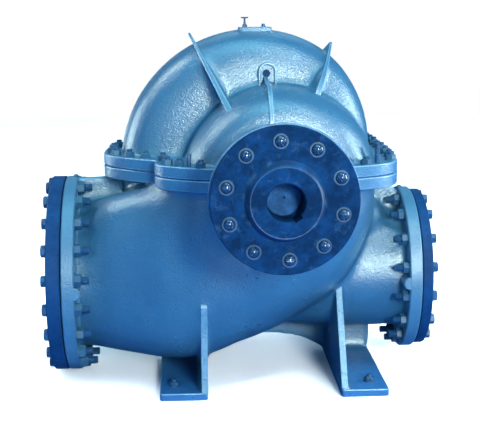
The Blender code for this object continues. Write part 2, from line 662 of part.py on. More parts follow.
def build_pump():
    left = SUCTION_FACE - 2 * SEAT_GAP - NOZZLE_GASKET - SUCTION_BLIND - BOLT_HEAD
    right = DISCHARGE_FACE + 2 * SEAT_GAP + NOZZLE_GASKET + DISCHARGE_BLIND + BOLT_HEAD
    front, back = COUPLING_FACE - BOSS_HEIGHT, END_COVER
    axes = empty("pump_axes", (-(left + right) / 2, -(front + back) / 2, 0.0))
    rotor = empty("rotor_axis", (0.0, 0.0, SHAFT_HEIGHT), axes)
    cock = empty("vent_cock_axis", (VENT_COCK_X, 0.0, VENT_PLATE_TOP + 2 * SEAT_GAP + 0.011), axes)
    build_lower_casing(axes)
    build_upper_casing(axes)
    build_gaskets(axes)
    build_blind_flange(axes, "suction", SUCTION_FACE, SUCTION_BLIND, SUCTION_BLIND_RADIUS, SUCTION_BOLTS,
                       SUCTION_BOLT_CIRCLE, SUCTION_HEAD_RADIUS, SUCTION_BOLT_TURN)
    build_blind_flange(axes, "discharge", DISCHARGE_FACE, DISCHARGE_BLIND, DISCHARGE_BLIND_RADIUS,
                       DISCHARGE_BOLTS, DISCHARGE_BOLT_CIRCLE, DISCHARGE_HEAD_RADIUS, DISCHARGE_BOLT_TURN)
    build_shaft(rotor)
    build_coupling(rotor)
    build_shaft_end(axes, "drive_end", -1)
    build_shaft_end(axes, "non_drive_end", 1)
    build_vent(axes, cock)
    build_plugs(axes)


clear_scene()
build_pump()
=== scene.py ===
"""Looks for a horizontal split case pump: castings, flanges, fasteners, coupling and shaft ends.

Shapes are worked out in the pump's own axes, in metres: X from the suction side to the discharge
side, Y along the shaft away from the coupling, Z up, with the zero point on the floor under the
middle of the casing. Every piece is then shifted to where the frame has the shaft.
"""

import json
from math import copysign, cos, exp, pi, radians, sin

import bmesh
import bpy
import numpy as np
from mathutils import Matrix, Vector, noise


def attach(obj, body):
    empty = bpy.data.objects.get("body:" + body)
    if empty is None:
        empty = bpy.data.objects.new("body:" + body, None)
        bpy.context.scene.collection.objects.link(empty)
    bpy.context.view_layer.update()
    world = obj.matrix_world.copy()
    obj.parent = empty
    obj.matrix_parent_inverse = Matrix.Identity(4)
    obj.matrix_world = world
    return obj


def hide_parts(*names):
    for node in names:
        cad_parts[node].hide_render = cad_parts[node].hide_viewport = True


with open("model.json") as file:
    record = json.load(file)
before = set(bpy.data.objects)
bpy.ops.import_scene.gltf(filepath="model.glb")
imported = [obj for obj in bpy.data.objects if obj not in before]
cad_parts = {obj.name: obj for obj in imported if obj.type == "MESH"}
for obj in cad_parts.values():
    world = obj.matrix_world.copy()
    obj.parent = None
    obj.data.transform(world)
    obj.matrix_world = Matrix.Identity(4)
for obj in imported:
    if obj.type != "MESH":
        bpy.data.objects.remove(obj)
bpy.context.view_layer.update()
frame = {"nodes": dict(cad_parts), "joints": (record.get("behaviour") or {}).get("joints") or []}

bl_info = {
    "name": "Split case pump",
    "version": (1, 0, 0),
    "blender": (4, 5, 0),
    "location": "View3D > Sidebar > Pump",
    "description": "Dresses a horizontal split case pump with its castings, fasteners and finishes",
    "category": "Add Mesh",
}

SHAFT_POINT = next(j["pos_m"] for j in frame["joints"] if j["name"] == "rotor_spin")
AXES = Vector((SHAFT_POINT[0], SHAFT_POINT[1], 0.0))

# Main heights, the gaps that keep parts from sharing a face, and the thickness of one split flange
SHAFT_HEIGHT = SHAFT_POINT[2]
SHAFT_CENTRE = (0.0, SHAFT_HEIGHT)
NOZZLE_HEIGHT = 0.348
SPLIT_GAP = 0.0018
SEAT_GAP = 0.0003
SPLIT_FLANGE = 0.038

# The castings' skins stay inside the crisp pieces by the inset, and reach past the joint face by the
# overlap before they are cut
INSET = 0.004
OVERLAP = 0.02

# Casing shells, as distances from the shaft's axis at angles from the discharge side, upwards
VOLUTE_RADII = {-15: 0.345, 0: 0.350, 30: 0.379, 60: 0.417, 90: 0.439, 120: 0.458, 150: 0.473, 180: 0.485,
                225: 0.505, 270: 0.530, 300: 0.545, 330: 0.500, 345: 0.345}
VOLUTE_HALF_WIDTH = 0.175
VOLUTE_CORE = 0.200
VOLUTE_ROUNDNESS = 3.1
BAND_HALF_WIDTH = 0.011
BAND_HEIGHT = 0.008
DOME_RADII = {-10: 0.350, 0: 0.345, 30: 0.320, 60: 0.290, 90: 0.270, 135: 0.259, 170: 0.273, 190: 0.283}
BELLY_RADII = {10: 0.368, -14: 0.376, -30: 0.403, -44: 0.434, -55: 0.464, -65: 0.491, -74: 0.509, -82: 0.536,
               -90: 0.570, -97: 0.604, -104: 0.642, -109: 0.664, -119: 0.670, -127: 0.625, -136: 0.562,
               -146: 0.500, -156: 0.440, -165: 0.390, -173: 0.355, -190: 0.330}
DOME_SECTION = ((0.000, 1.0), (0.150, 1.0), (0.250, 1.0), (0.300, 0.985), (0.345, 0.945), (0.385, 0.880),
                (0.416, 0.770), (0.430, 0.620))
BELLY_SECTION = ((0.000, 1.0), (0.080, 1.0), (0.160, 0.985), (0.220, 0.955), (0.280, 0.905), (0.330, 0.840),
                 (0.370, 0.760), (0.400, 0.670), (0.420, 0.570), (0.432, 0.420))

# The suction branch from its pipe into the belly: x, half width, bottom, top, squareness of its lower
# and of its upper half, and the depth of the valley along its top
SUCTION_BRANCH = (
    (-0.645, 0.252, 0.096, 0.600, 2.0, 2.0, 0.000), (-0.605, 0.254, 0.093, 0.603, 2.05, 2.3, 0.004),
    (-0.560, 0.264, 0.088, 0.628, 2.2, 3.4, 0.026), (-0.510, 0.286, 0.085, 0.648, 2.5, 4.6, 0.046),
    (-0.450, 0.312, 0.082, 0.668, 2.8, 5.2, 0.056), (-0.400, 0.338, 0.079, 0.686, 3.0, 5.2, 0.052),
    (-0.350, 0.366, 0.077, 0.714, 3.1, 5.2, 0.030), (-0.283, 0.394, 0.078, 0.800, 3.2, 5.0, 0.000),
    (-0.220, 0.418, 0.087, 0.880, 3.1, 4.6, 0.000), (-0.150, 0.432, 0.106, 0.920, 2.9, 4.0, 0.000),
    (-0.070, 0.434, 0.145, 0.920, 2.6, 3.4, 0.000), (0.000, 0.410, 0.200, 0.880, 2.4, 2.8, 0.000),
)
VALLEY_WIDTH = 0.090

# Half of the split flange's outline, from the suction side to the discharge side
SPLIT_OUTLINE = ((-0.549, 0.000), (-0.547, -0.070), (-0.520, -0.130), (-0.462, -0.190), (-0.366, -0.262),
                 (-0.374, -0.320), (-0.348, -0.385), (-0.285, -0.430), (-0.200, -0.468), (-0.150, -0.475),
                 (0.190, -0.475), (0.272, -0.450), (0.340, -0.418), (0.385, -0.375), (0.410, -0.310),
                 (0.415, -0.200), (0.415, 0.000))

# Studs of the split flange in its front half, seen from above; the back half mirrors them
SPLIT_STUDS = ((-0.518, -0.040), (-0.503, -0.112), (-0.456, -0.165), (-0.402, -0.190), (-0.345, -0.250),
               (-0.330, -0.357), (-0.292, -0.390), (-0.226, -0.436), (-0.160, -0.452), (0.232, -0.440),
               (0.292, -0.418), (0.384, -0.318), (0.393, -0.240), (0.394, -0.160), (0.394, -0.080),
               (0.394, 0.000))
JACKING_BOLTS = ((0.330, -0.385),)
TAPER_PINS = ((-0.262, -0.411), (0.330, 0.375))

# Each nozzle's flange, from its outer face back to the pipe, its blind flange and its bolts. The reach is
# how far the studs stand out of their nuts
NOZZLES = {
    "suction": {"face": -0.680, "thickness": 0.042, "radius": 0.335, "pipe": 0.252, "blind": 0.046,
                "blind_radius": 0.335, "count": 20, "bolt_circle": 0.310, "turn": radians(1.4),
                "head": 0.0205, "reach": 0.026},
    "discharge": {"face": 0.505, "thickness": 0.041, "radius": 0.280, "pipe": 0.205, "blind": 0.035,
                  "blind_radius": 0.271, "count": 16, "bolt_circle": 0.250, "turn": 0.0, "head": 0.0182,
                  "reach": 0.026},
}
BOLT_HEAD_HEIGHT = 0.016
RIM_PLUGS_X = {"suction": -0.648, "discharge": 0.471}

# Bolt heads by radius and height, nuts by radius, height, stud radius and how far the stud stands out
CAP_BOLT = (0.0150, 0.014)
COVER_BOLT = (0.0105, 0.007)
GLAND_NUT = (0.0150, 0.014, 0.0080, 0.016)
FOOT_NUT = (0.0165, 0.013, 0.0085, 0.010)

# Gussets: name, foot and tip seen from the front, and the edge as shares of the way up and distances
# from the middle plane
GUSSETS = (
    ("left_gusset", (-0.128, 0.928), (-0.253, 1.168),
     ((-0.25, 0.250), (-0.09, 0.350), (-0.03, 0.364), (0.02, 0.356), (0.40, 0.240), (0.70, 0.150),
      (0.90, 0.055), (1.00, 0.008))),
    ("right_gusset", (0.146, 0.962), (0.231, 1.133),
     ((-0.20, 0.200), (-0.08, 0.276), (0.00, 0.290), (0.12, 0.280), (0.40, 0.218), (0.70, 0.130),
      (0.90, 0.045), (1.00, 0.007))),
)
GUSSET_FOOT = 0.010
GUSSET_TIP = 0.004
GUSSET_ROOT = 0.022

# Ribs, pads and feet
CROWN_RIB_X = -0.005
CROWN_RIB_WIDTH = 0.014
CROWN_RIB = ((-0.436, 0.880), (-0.430, 0.925), (-0.392, 0.982), (-0.335, 1.012), (-0.250, 1.016),
             (-0.192, 1.030), (-0.165, 1.030), (0.165, 1.030), (0.192, 1.030), (0.250, 1.016),
             (0.335, 1.012), (0.392, 0.982), (0.430, 0.925), (0.436, 0.880))
ARCH_PAD = 0.030
ARCH_PAD_HEIGHT = 1.046
ARCH_FOOT = 0.985
ARCH_PAD_FACE = 0.180
ARCH_RIM = 0.0075
ARCH_RIM_FACE = 0.1885
TAPPING = (-0.004, 1.040)
TAPPING_RADIUS = 0.0115
FOOT_END = 0.385
FOOT_THICKNESS = 0.025
LEFT_FOOT = (-0.368, -0.212)
RIGHT_FOOT = (0.224, 0.380)
RIB = 0.020
LEFT_RIB = ((0.385, 0.020), (0.385, 0.215), (0.400, 0.262), (0.4160, 0.318), (0.411, 0.329))
RIGHT_RIB = ((0.385, 0.030), (0.165, 0.410))
RIB_EDGE_PROUD = 0.0008
RIB_EDGE_DEPTH = 0.009
FOOT_WEB = ((-0.360, 0.010), (-0.222, 0.010), (-0.150, 0.058), (-0.060, 0.078), (0.020, 0.082),
            (0.100, 0.074), (0.150, 0.060), (0.200, 0.034), (0.234, 0.010), (0.379, 0.010), (0.388, 0.060),
            (0.388, 0.300), (-0.350, 0.300))
SUCTION_WEB = ((-0.645, 0.560), (-0.645, 0.680), (-0.549, 0.684), (-0.520, 0.705), (-0.430, 0.705),
               (-0.430, 0.560))
DISCHARGE_WEB = ((0.300, 0.500), (0.470, 0.500), (0.470, 0.620), (0.455, 0.624), (0.430, 0.655),
                 (0.405, 0.705), (0.300, 0.705))
NECK_WEB = 0.015
FOOT_BOLTS_X = (-0.321, 0.326)
FOOT_BOLT_Y = 0.300

# Shaft line, as distances from the middle of the casing
SHAFT_RADIUS = 0.053
STUFFING_BOX_RADIUS = 0.150
STUFFING_BOX_END = 0.495
SHAFT_FRONT = -0.787
SHAFT_BACK = 0.708

# Bearing housings, sleeves and rings at both ends of the shaft
BRACKET_BORE = 0.1455
BRACKET_FLANGE = 0.185
TROUGH_RADIUS = 0.165
HOUSING_START = 0.600
HOUSING_END = 0.700
HOUSING_RADIUS = 0.135
HOUSING_BORE = 0.085
CAP_BOLT_X = 0.112
COVER_RADIUS = 0.130
COVER_BOLT_CIRCLE = 0.115
COVER_BOLTS = 6
GLAND_STUD_X = 0.103
SLEEVE_START = 0.340
SLEEVE_END = 0.560
SLEEVE_RADIUS = 0.064
THROWER_END = 0.580
THROWER_RADIUS = 0.086

# Pump half of the coupling. Its boss is a cone, with a radius at its foot and one at its face
COUPLING_FACE = -0.850
COUPLING_RADIUS = 0.209
COUPLING_BACK = -0.803
RIM_RADIUS = 0.2130
BOSS_RADIUS = 0.112
BOSS_FACE = 0.1015
BOSS_HEIGHT = 0.035
HUB_RADIUS = 0.098
HUB_BACK = -0.722
PIN_CIRCLE = 0.167
PIN_COUNT = 10
PIN_TURN = 0.0713
PIN_RADIUS = 0.0218
PIN_DOME = 0.0176
PIN_RISE = 0.0165
PIN_SLOTS = (62, 48, 8, -50, -38, 5, 85, 88, 80, 75)
KEY_ANGLE = radians(-53.6)
KEY_WIDTH = 0.025
KEY_BOTTOM = 0.0602

# Vent on the crown
VENT_PAD_CORE = ((-0.086, -0.034, 1.120), (0.026, 0.034, 1.166))
VENT_PAD = ((-0.088, -0.036, 1.135), (0.028, 0.036, 1.1705))
VENT_PLATE = ((-0.086, -0.033, 1.1708), (0.026, 0.033, 1.1855))
VENT_SEAT = 1.1858
VENT_TOP = 1.220
VENT_COCK_X = -0.064
PRIMING_PLUG_X = -0.001

# Waves of the cast skin: the depth, and each wave's length and share of it
WAVE_DEPTH = 0.00022
WAVES = ((0.075, 1.0), (0.026, 0.45))

# Steps by which a skin's corners move each round, and how often its normals are read again
EVEN_STEP = 0.5
FILL_STEP = 0.6
WEAR_STEP = 0.06
NORMALS_EVERY = 5

# Camera, in the pump's axes
CAMERA_PLACE = Vector((-0.27848, -4.05431, 1.28882))
CAMERA_YAW = 0.0481
CAMERA_PITCH = -0.1806
CAMERA_ROLL = -0.0086
CAMERA_LENS = 88.67
SENSOR = 36.0

# Light: softboxes with their place, size, power and colour, all turned to one point
LIGHT_AIM = Vector((0.0, 0.0, 0.6))
COOL = (0.88, 0.98, 1.0)
SOFTBOXES = (
    ("high key", (2.6, -3.0, 5.8), (0.6, 0.6), 140, COOL),
    ("low key", (1.3, -6.5, 2.35), (1.2, 0.9), 465, COOL),
    ("low fill", (1.0, -6.0, 1.1), (1.2, 0.8), 60, COOL),
    ("right fill", (4.0, -3.5, 1.6), (1.0, 1.4), 45, COOL),
    ("high left", (-3.4, 1.5, 4.1), (0.6, 0.6), 75, COOL),
    ("left strip", (-3.6, 2.2, 1.1), (0.5, 1.6), 80, (0.75, 0.93, 1.0)),
    ("left fill", (-3.2, -4.2, 2.2), (2.4, 2.0), 28, (0.55, 0.88, 1.0)),
    ("right strip", (4.2, -0.3, 1.5), (0.8, 2.6), 195, (0.80, 0.95, 1.0)),
    ("overhead", (-0.3, -1.2, 5.2), (3.0, 3.0), 110, (0.34, 0.80, 1.0)),
    ("back light", (0.3, 4.8, 3.4), (3.0, 1.6), 18, (0.55, 0.85, 1.0)),
)
FLOOR_WASH = 3.0
FLOOR_BOUNCE = (0.020, 0.090, 0.28)
AIR = (0.13, 0.50, 1.0)
AIR_STRENGTH = 0.42
PALE_BLUE = (0.42, 0.80, 1.0)


class PumpSizes(bpy.types.PropertyGroup):
    upper_voxel: bpy.props.FloatProperty(
        name="Upper casting detail", description="Edge length of the upper casting's mesh",
        default=0.0056, unit="LENGTH")
    lower_voxel: bpy.props.FloatProperty(
        name="Lower casting detail", description="Edge length of the lower casting's mesh",
        default=0.0070, unit="LENGTH")
    cast_rounding: bpy.props.FloatProperty(
        name="Casting rounding", description="How far the rounding of the castings' edges spreads",
        default=0.0097, unit="LENGTH")
    fillet_spread: bpy.props.FloatProperty(
        name="Fillet spread", description="How far the fillets in the castings' inner corners spread",
        default=0.0327, unit="LENGTH")
    edge_bevel: bpy.props.FloatProperty(
        name="Edge bevel", description="Width of the rounding on cast plates", default=0.0035, unit="LENGTH")
    split_nut: bpy.props.FloatProperty(
        name="Split flange nut", description="Radius over the corners of the nuts on the split flange",
        default=0.0175, unit="LENGTH")
    suction_nut: bpy.props.FloatProperty(
        name="Suction nut", description="Radius over the corners of the suction flange's nuts",
        default=0.0225, unit="LENGTH")
    discharge_nut: bpy.props.FloatProperty(
        name="Discharge nut", description="Radius over the corners of the discharge flange's nuts",
        default=0.0200, unit="LENGTH")


class PumpColours(bpy.types.PropertyGroup):
    casting: bpy.props.FloatVectorProperty(
        name="Casting paint", description="Paint on the castings", subtype="COLOR", size=3,
        default=(0.031, 0.124, 0.216), min=0.0, max=1.0)
    casting_dark: bpy.props.FloatVectorProperty(
        name="Casting paint in hollows", description="Darker tone of the castings' paint", subtype="COLOR",
        size=3, default=(0.018, 0.090, 0.178), min=0.0, max=1.0)
    blind: bpy.props.FloatVectorProperty(
        name="Blind flange paint", description="Paint on the blind flanges", subtype="COLOR", size=3,
        default=(0.0055, 0.049, 0.148), min=0.0, max=1.0)
    coupling: bpy.props.FloatVectorProperty(
        name="Coupling iron", description="Dark iron of the coupling", subtype="COLOR", size=3,
        default=(0.003, 0.031, 0.096), min=0.0, max=1.0)
    steel: bpy.props.FloatVectorProperty(
        name="Bare steel", description="Shaft, sleeves and pins", subtype="COLOR", size=3,
        default=(0.080, 0.240, 0.450), min=0.0, max=1.0)
    fastener: bpy.props.FloatVectorProperty(
        name="Fasteners", description="Nuts, studs and bolt heads", subtype="COLOR", size=3,
        default=(0.012, 0.070, 0.165), min=0.0, max=1.0)
    highlight: bpy.props.FloatVectorProperty(
        name="Highlights", description="Cool tint of the light that the paint mirrors", subtype="COLOR",
        size=3, default=(0.88, 1.0, 0.90), min=0.0, max=1.0)
    floor: bpy.props.FloatVectorProperty(
        name="Floor", description="The studio's floor", subtype="COLOR", size=3,
        default=(0.92, 0.94, 0.96), min=0.0, max=1.0)


def sizes():
    return bpy.context.scene.pump_sizes


def colours():
    return bpy.context.scene.pump_colours


# Curves and outlines


def read_radius(radii, angle):
    """Reads a smooth curve through radii given at angles in degrees."""
    stations = sorted(radii)
    angle = min(max(angle, stations[0]), stations[-1])
    i = max(k for k in range(len(stations) - 1) if stations[k] <= angle)
    a, b = stations[i], stations[i + 1]
    before = stations[max(i - 1, 0)]
    after = stations[min(i + 2, len(stations) - 1)]
    span = b - a
    slope_a = (radii[b] - radii[before]) / (b - before)
    slope_b = (radii[after] - radii[a]) / (after - a)
    t = (angle - a) / span
    return (
        (2 * t**3 - 3 * t**2 + 1) * radii[a]
        + (t**3 - 2 * t**2 + t) * span * slope_a
        + (3 * t**2 - 2 * t**3) * radii[b]
        + (t**3 - t**2) * span * slope_b
    )


def smooth_rows(rows, per):
    """Refines a table of rows by a smooth curve through them, with per steps between two rows."""
    keys = {k: row for k, row in enumerate(rows)}
    steps = (len(rows) - 1) * per
    return [
        [read_radius({k: row[c] for k, row in keys.items()}, step / per) for c in range(len(rows[0]))]
        for step in range(steps + 1)
    ]


def rounded(outline, radius, steps=4, inner=None):
    """Rounds the corners of a closed flat outline, its inner corners by a radius of their own."""
    made = []
    count = len(outline)
    for k in range(count):
        before, corner, after = (Vector(outline[(k + d) % count]) for d in (-1, 0, 1))
        back, ahead = before - corner, after - corner
        hollow = inner is not None and back.x * ahead.y > back.y * ahead.x
        reach = min(inner if hollow else radius, back.length * 0.45, ahead.length * 0.45)
        start, end = corner + back.normalized() * reach, corner + ahead.normalized() * reach
        for step in range(steps + 1):
            t = step / steps
            point = start * (1 - t) ** 2 + corner * 2 * t * (1 - t) + end * t**2
            made.append(tuple(point))
    return made


def circle(radius, steps, centre):
    angles = [2 * pi * k / steps for k in range(steps)]
    return [(centre[0] + radius * cos(angle), centre[1] + radius * sin(angle)) for angle in angles]


# Shapes, each a list of points and a list of faces


def merged(shapes):
    points, faces = [], []
    for some_points, some_faces in shapes:
        base = len(points)
        points += some_points
        faces += [tuple(base + i for i in face) for face in some_faces]
    return points, faces


def loft(rings, capped=True):
    """Skins a run of equal rings. With capped unset, the last ring joins the first."""
    count = len(rings[0])
    points = [point for ring in rings for point in ring]
    faces = []
    rows = len(rings) - 1 if capped else len(rings)
    for row in range(rows):
        a, b = row * count, (row + 1) % len(rings) * count
        for i in range(count):
            j = (i + 1) % count
            faces.append((a + i, a + j, b + j, b + i))
    if capped:
        faces.append(tuple(range(count))[::-1])
        faces.append(tuple(range(len(points) - count, len(points))))
    return points, faces


def about(axis, radius, angle, along, centre=(0.0, 0.0)):
    """A point at a radius and an angle about an axis that passes through centre."""
    u, v = centre[0] + radius * cos(angle), centre[1] + radius * sin(angle)
    return {"X": (along, u, v), "Y": (u, along, v), "Z": (u, v, along)}[axis]


def turned(axis, profile, steps, centre=(0.0, 0.0), closed=False):
    """Turns a profile of (radius, place along the axis), solid in the middle or, closed, a ring."""
    angles = [2 * pi * k / steps for k in range(steps)]
    rings = [[about(axis, r, angle, along, centre) for angle in angles] for r, along in profile]
    return loft(rings, capped=not closed)


def half_turned(profile, start, end, steps):
    """Turns a closed profile of (radius, y) part of the way round the shaft."""
    angles = [radians(start + (end - start) * k / steps) for k in range(steps + 1)]
    return loft([[about("Y", r, angle, y, SHAFT_CENTRE) for r, y in profile] for angle in angles])


def prism(axis, outline, low, high):
    """Extrudes a flat outline along an axis."""
    def point(u, v, w):
        return {"X": (w, u, v), "Y": (u, w, v), "Z": (u, v, w)}[axis]

    return loft([[point(u, v, low) for u, v in outline], [point(u, v, high) for u, v in outline]])


def rectangle(low, high):
    return (low[0], low[1]), (high[0], low[1]), (high[0], high[1]), (low[0], high[1])


def block(low, high):
    return prism("Z", rectangle(low, high), low[2], high[2])


def placed(shape, matrix):
    points, faces = shape
    return [tuple(matrix @ Vector(point)) for point in points], faces


def pointing(axis, place, turn=0.0):
    """A matrix that stands a shape made along +Z on a place, pointing along a signed axis."""
    tilt = {"+Z": Matrix.Identity(4), "+X": Matrix.Rotation(pi / 2, 4, "Y"),
            "-X": Matrix.Rotation(-pi / 2, 4, "Y"), "+Y": Matrix.Rotation(-pi / 2, 4, "X"),
            "-Y": Matrix.Rotation(pi / 2, 4, "X")}[axis]
    return Matrix.Translation(place) @ tilt @ Matrix.Rotation(turn, 4, "Z")


# Fasteners, made along +Z from the face that they sit on


def hexagon(radius, height):
    """A nut or bolt head with the corners chamfered as by a turned cone."""
    rows = []
    flat = radius * cos(pi / 6)
    chamfer = radius * 0.16
    for z_corner, z_flat, r_corner, r_flat in (
            (0.0, 0.0, radius, flat), (height - chamfer, height - chamfer * 0.25, radius, flat),
            (height - chamfer * 0.35, height - chamfer * 0.1, radius * 0.93, flat * 0.985),
            (height, height, radius * 0.84, radius * 0.84)):
        row = []
        for k in range(12):
            r, z = (r_corner, z_corner) if k % 2 == 0 else (r_flat, z_flat)
            row.append(about("Z", r, pi * k / 6, z))
        rows.append(row)
    return loft(rows)


def threaded(radius, height):
    """A stud's end with its thread's ridges and a chamfered tip."""
    pitch = 0.003
    profile = []
    turns = max(2, int(height / pitch))
    for k in range(turns):
        z = height * k / turns
        profile += [(radius * 0.90, z), (radius, z + height / turns * 0.5)]
    profile += [(radius * 0.90, height - 0.001), (radius * 0.78, height)]
    return turned("Z", profile, 14)


def washer(radius, thickness):
    return turned("Z", ((radius, 0.0), (radius, thickness * 0.8), (radius * 0.97, thickness)), 24)


def nut_on_washer(radius, height, under):
    return merged((washer(radius * 1.12, under),
                   placed(hexagon(radius, height), Matrix.Translation((0.0, 0.0, under)))))


def stud_end(radius, height, reach):
    """The end of a stud that stands out of a nut's top at a height."""
    return placed(threaded(radius, reach), Matrix.Translation((0.0, 0.0, height - 0.001)))


def nut_and_stud(radius, height, stud, reach, under=0.002):
    """A washer, a nut and the stud's end above it."""
    return merged((nut_on_washer(radius, height, under), stud_end(stud, under + height, reach)))


def screwed_plug(radius, height, profile, steps):
    """A hexagon with a turned end that stands out of it."""
    return merged((hexagon(radius, height), turned("Z", profile, steps)))


def random_turns(count, seed):
    """Angles for nuts that were tightened without lining up."""
    made = np.random.default_rng(seed)
    return [float(a) for a in made.uniform(0.0, pi / 3, count)]


# Objects


def object_from(name, shape):
    points, faces = shape
    mesh = bpy.data.meshes.new(name)
    mesh.from_pydata([tuple(AXES + Vector(point)) for point in points], [], faces)
    shell = bmesh.new()
    shell.from_mesh(mesh)
    bmesh.ops.recalc_face_normals(shell, faces=shell.faces)
    shell.to_mesh(mesh)
    shell.free()
    made = bpy.data.objects.new(name, mesh)
    bpy.context.scene.collection.objects.link(made)
    return made


def dress(made, material, body, replaced=()):
    made.data.materials.clear()
    made.data.materials.append(material)
    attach(made, body)
    if replaced:
        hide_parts(*replaced)
    return made


def piece(name, shape, material, body="casing", bevel=0.0, angle=35.0, replaced=(), wear_and_highlight=None):
    """A crisp piece. Its edges over the angle are rounded by the bevel, or stay sharp without one.

    A paler material, if there is one, goes on the rounding: edge wear and a painted highlight.
    """
    made = object_from(name, shape)
    made.data.shade_smooth()
    if bevel:
        rounding = made.modifiers.new("rounded edges", "BEVEL")
        rounding.width = bevel
        rounding.segments = 3
        rounding.limit_method = "ANGLE"
        rounding.angle_limit = radians(angle)
        rounding.harden_normals = True
        rounding.material = 1 if wear_and_highlight else -1
    else:
        made.data.set_sharp_from_angle(angle=radians(angle))
    dress(made, material, body, replaced)
    if wear_and_highlight:
        made.data.materials.append(wear_and_highlight)
    return made


def fasteners(name, shape, body="casing", angle=30, replaced=()):
    """A piece with the paint of nuts, studs and plugs."""
    piece(name, shape, fastener_paint(), body=body, angle=angle, replaced=replaced)


def rotor_piece(name, profile, material, steps=160, angle=25, closed=True, replaced=()):
    """A piece turned about the shaft, which rides on the rotor."""
    shape = turned("Y", profile, steps, SHAFT_CENTRE, closed)
    return piece(name, shape, material, body="rotor", angle=angle, replaced=replaced)


def skinned(name, shapes, voxel):
    """One closed skin round overlapping shapes."""
    source = object_from(name + "_source", merged(shapes))
    remesh = source.modifiers.new("skin", "REMESH")
    remesh.mode = "VOXEL"
    remesh.voxel_size = voxel
    bpy.context.view_layer.update()
    evaluated = source.evaluated_get(bpy.context.evaluated_depsgraph_get())
    mesh = bpy.data.meshes.new_from_object(evaluated)
    mesh.name = name
    bpy.data.objects.remove(source)
    return mesh


def soften(mesh, voxel):
    """Rounds the edges of a skin a little and fills its inner corners with fillets."""
    even_rounds = round((sizes().cast_rounding / voxel) ** 2)
    fill_rounds = round((sizes().fillet_spread / voxel) ** 2)
    count = len(mesh.vertices)
    points = np.empty(count * 3)
    mesh.vertices.foreach_get("co", points)
    points = points.reshape(-1, 3)
    ends = np.empty(len(mesh.edges) * 2, int)
    mesh.edges.foreach_get("vertices", ends)
    a, b = ends.reshape(-1, 2).T
    degree = np.bincount(np.concatenate((a, b)), minlength=count)[:, None]

    def pull():
        total = np.stack([np.bincount(a, points[b, k], count) + np.bincount(b, points[a, k], count)
                          for k in range(3)], 1)
        return total / degree - points

    def write():
        mesh.vertices.foreach_set("co", points.ravel())
        mesh.update()

    for _ in range(even_rounds):
        points += EVEN_STEP * pull()
    normals = np.empty(count * 3)
    for turn in range(fill_rounds):
        if turn % NORMALS_EVERY == 0:
            write()
            mesh.vertex_normals.foreach_get("vector", normals)
        facing = normals.reshape(-1, 3)
        step = (pull() * facing).sum(1)
        points += (FILL_STEP * np.maximum(step, 0.0) + WEAR_STEP * np.minimum(step, 0.0))[:, None] * facing
    write()


def roughen(mesh):
    """Gives a sand casting's slight waves to a skin."""
    for vertex, normal in zip(mesh.vertices, [Vector(n.vector) for n in mesh.vertex_normals]):
        wave = sum(share * noise.noise(vertex.co / length) for length, share in WAVES)
        vertex.co += normal * WAVE_DEPTH * wave
    mesh.update()


def cut_level(mesh, height, keep_above):
    """Cuts a skin at a height and closes it there with a flat face."""
    shell = bmesh.new()
    shell.from_mesh(mesh)
    geometry = list(shell.verts) + list(shell.edges) + list(shell.faces)
    cut = bmesh.ops.bisect_plane(shell, geom=geometry, plane_co=(0.0, 0.0, height), plane_no=(0.0, 0.0, 1.0),
                                 clear_inner=keep_above, clear_outer=not keep_above)
    rim = [e for e in cut["geom_cut"] if isinstance(e, bmesh.types.BMEdge)]
    bmesh.ops.triangle_fill(shell, edges=rim, use_beauty=True)
    bmesh.ops.recalc_face_normals(shell, faces=shell.faces)
    shell.to_mesh(mesh)
    shell.free()


def casting(name, shapes, voxel, joint_face, keep_above, node):
    """A cast body: one skin with fillets and slight waves, cut flat at its joint face."""
    mesh = skinned(name, shapes, voxel)
    soften(mesh, voxel)
    roughen(mesh)
    cut_level(mesh, joint_face, keep_above)
    made = bpy.data.objects.new(name, mesh)
    bpy.context.scene.collection.objects.link(made)
    mesh.shade_smooth()
    mesh.set_sharp_from_angle(angle=radians(50))
    return dress(made, casting_paint(), "casing", (node,))


def carve(made, shape):
    """Takes a shape out of a piece."""
    cutter = object_from("cutter", shape)
    cut = made.modifiers.new("cut", "BOOLEAN")
    cut.object = cutter
    bpy.context.view_layer.update()
    evaluated = made.evaluated_get(bpy.context.evaluated_depsgraph_get())
    made.data = bpy.data.meshes.new_from_object(evaluated)
    made.modifiers.clear()
    bpy.data.objects.remove(cutter)


# Material effects, as node groups that several materials share


def new_group(name, inputs, outputs):
    group = bpy.data.node_groups.new(name, "ShaderNodeTree")
    for label, default in inputs.items():
        socket = group.interface.new_socket(label, in_out="INPUT", socket_type="NodeSocketFloat")
        socket.default_value = default
    for label in outputs:
        group.interface.new_socket(label, in_out="OUTPUT", socket_type="NodeSocketFloat")
    entry = group.nodes.new("NodeGroupInput")
    leave = group.nodes.new("NodeGroupOutput")
    return group, entry, leave


def maths(tree, operation, first, second=0.5):
    node = tree.nodes.new("ShaderNodeMath")
    node.operation = operation
    for socket, value in zip(node.inputs, (first, second)):
        if isinstance(value, (int, float)):
            socket.default_value = value
        else:
            tree.links.new(value, socket)
    return node.outputs[0]


def noise_value(tree, vector, scale, detail=2.0, roughness=0.5, distortion=0.0):
    node = tree.nodes.new("ShaderNodeTexNoise")
    node.inputs["Detail"].default_value = detail
    node.inputs["Roughness"].default_value = roughness
    node.inputs["Distortion"].default_value = distortion
    tree.links.new(vector, node.inputs["Vector"])
    if isinstance(scale, (int, float)):
        node.inputs["Scale"].default_value = scale
    else:
        tree.links.new(scale, node.inputs["Scale"])
    return node.outputs["Fac"]


def stretched(tree, low, high, value):
    """Spreads the part of a value between low and high over 0 to 1."""
    node = tree.nodes.new("ShaderNodeMapRange")
    node.clamp = True
    node.inputs["From Min"].default_value = low
    node.inputs["From Max"].default_value = high
    tree.links.new(value, node.inputs["Value"])
    return node.outputs["Result"]


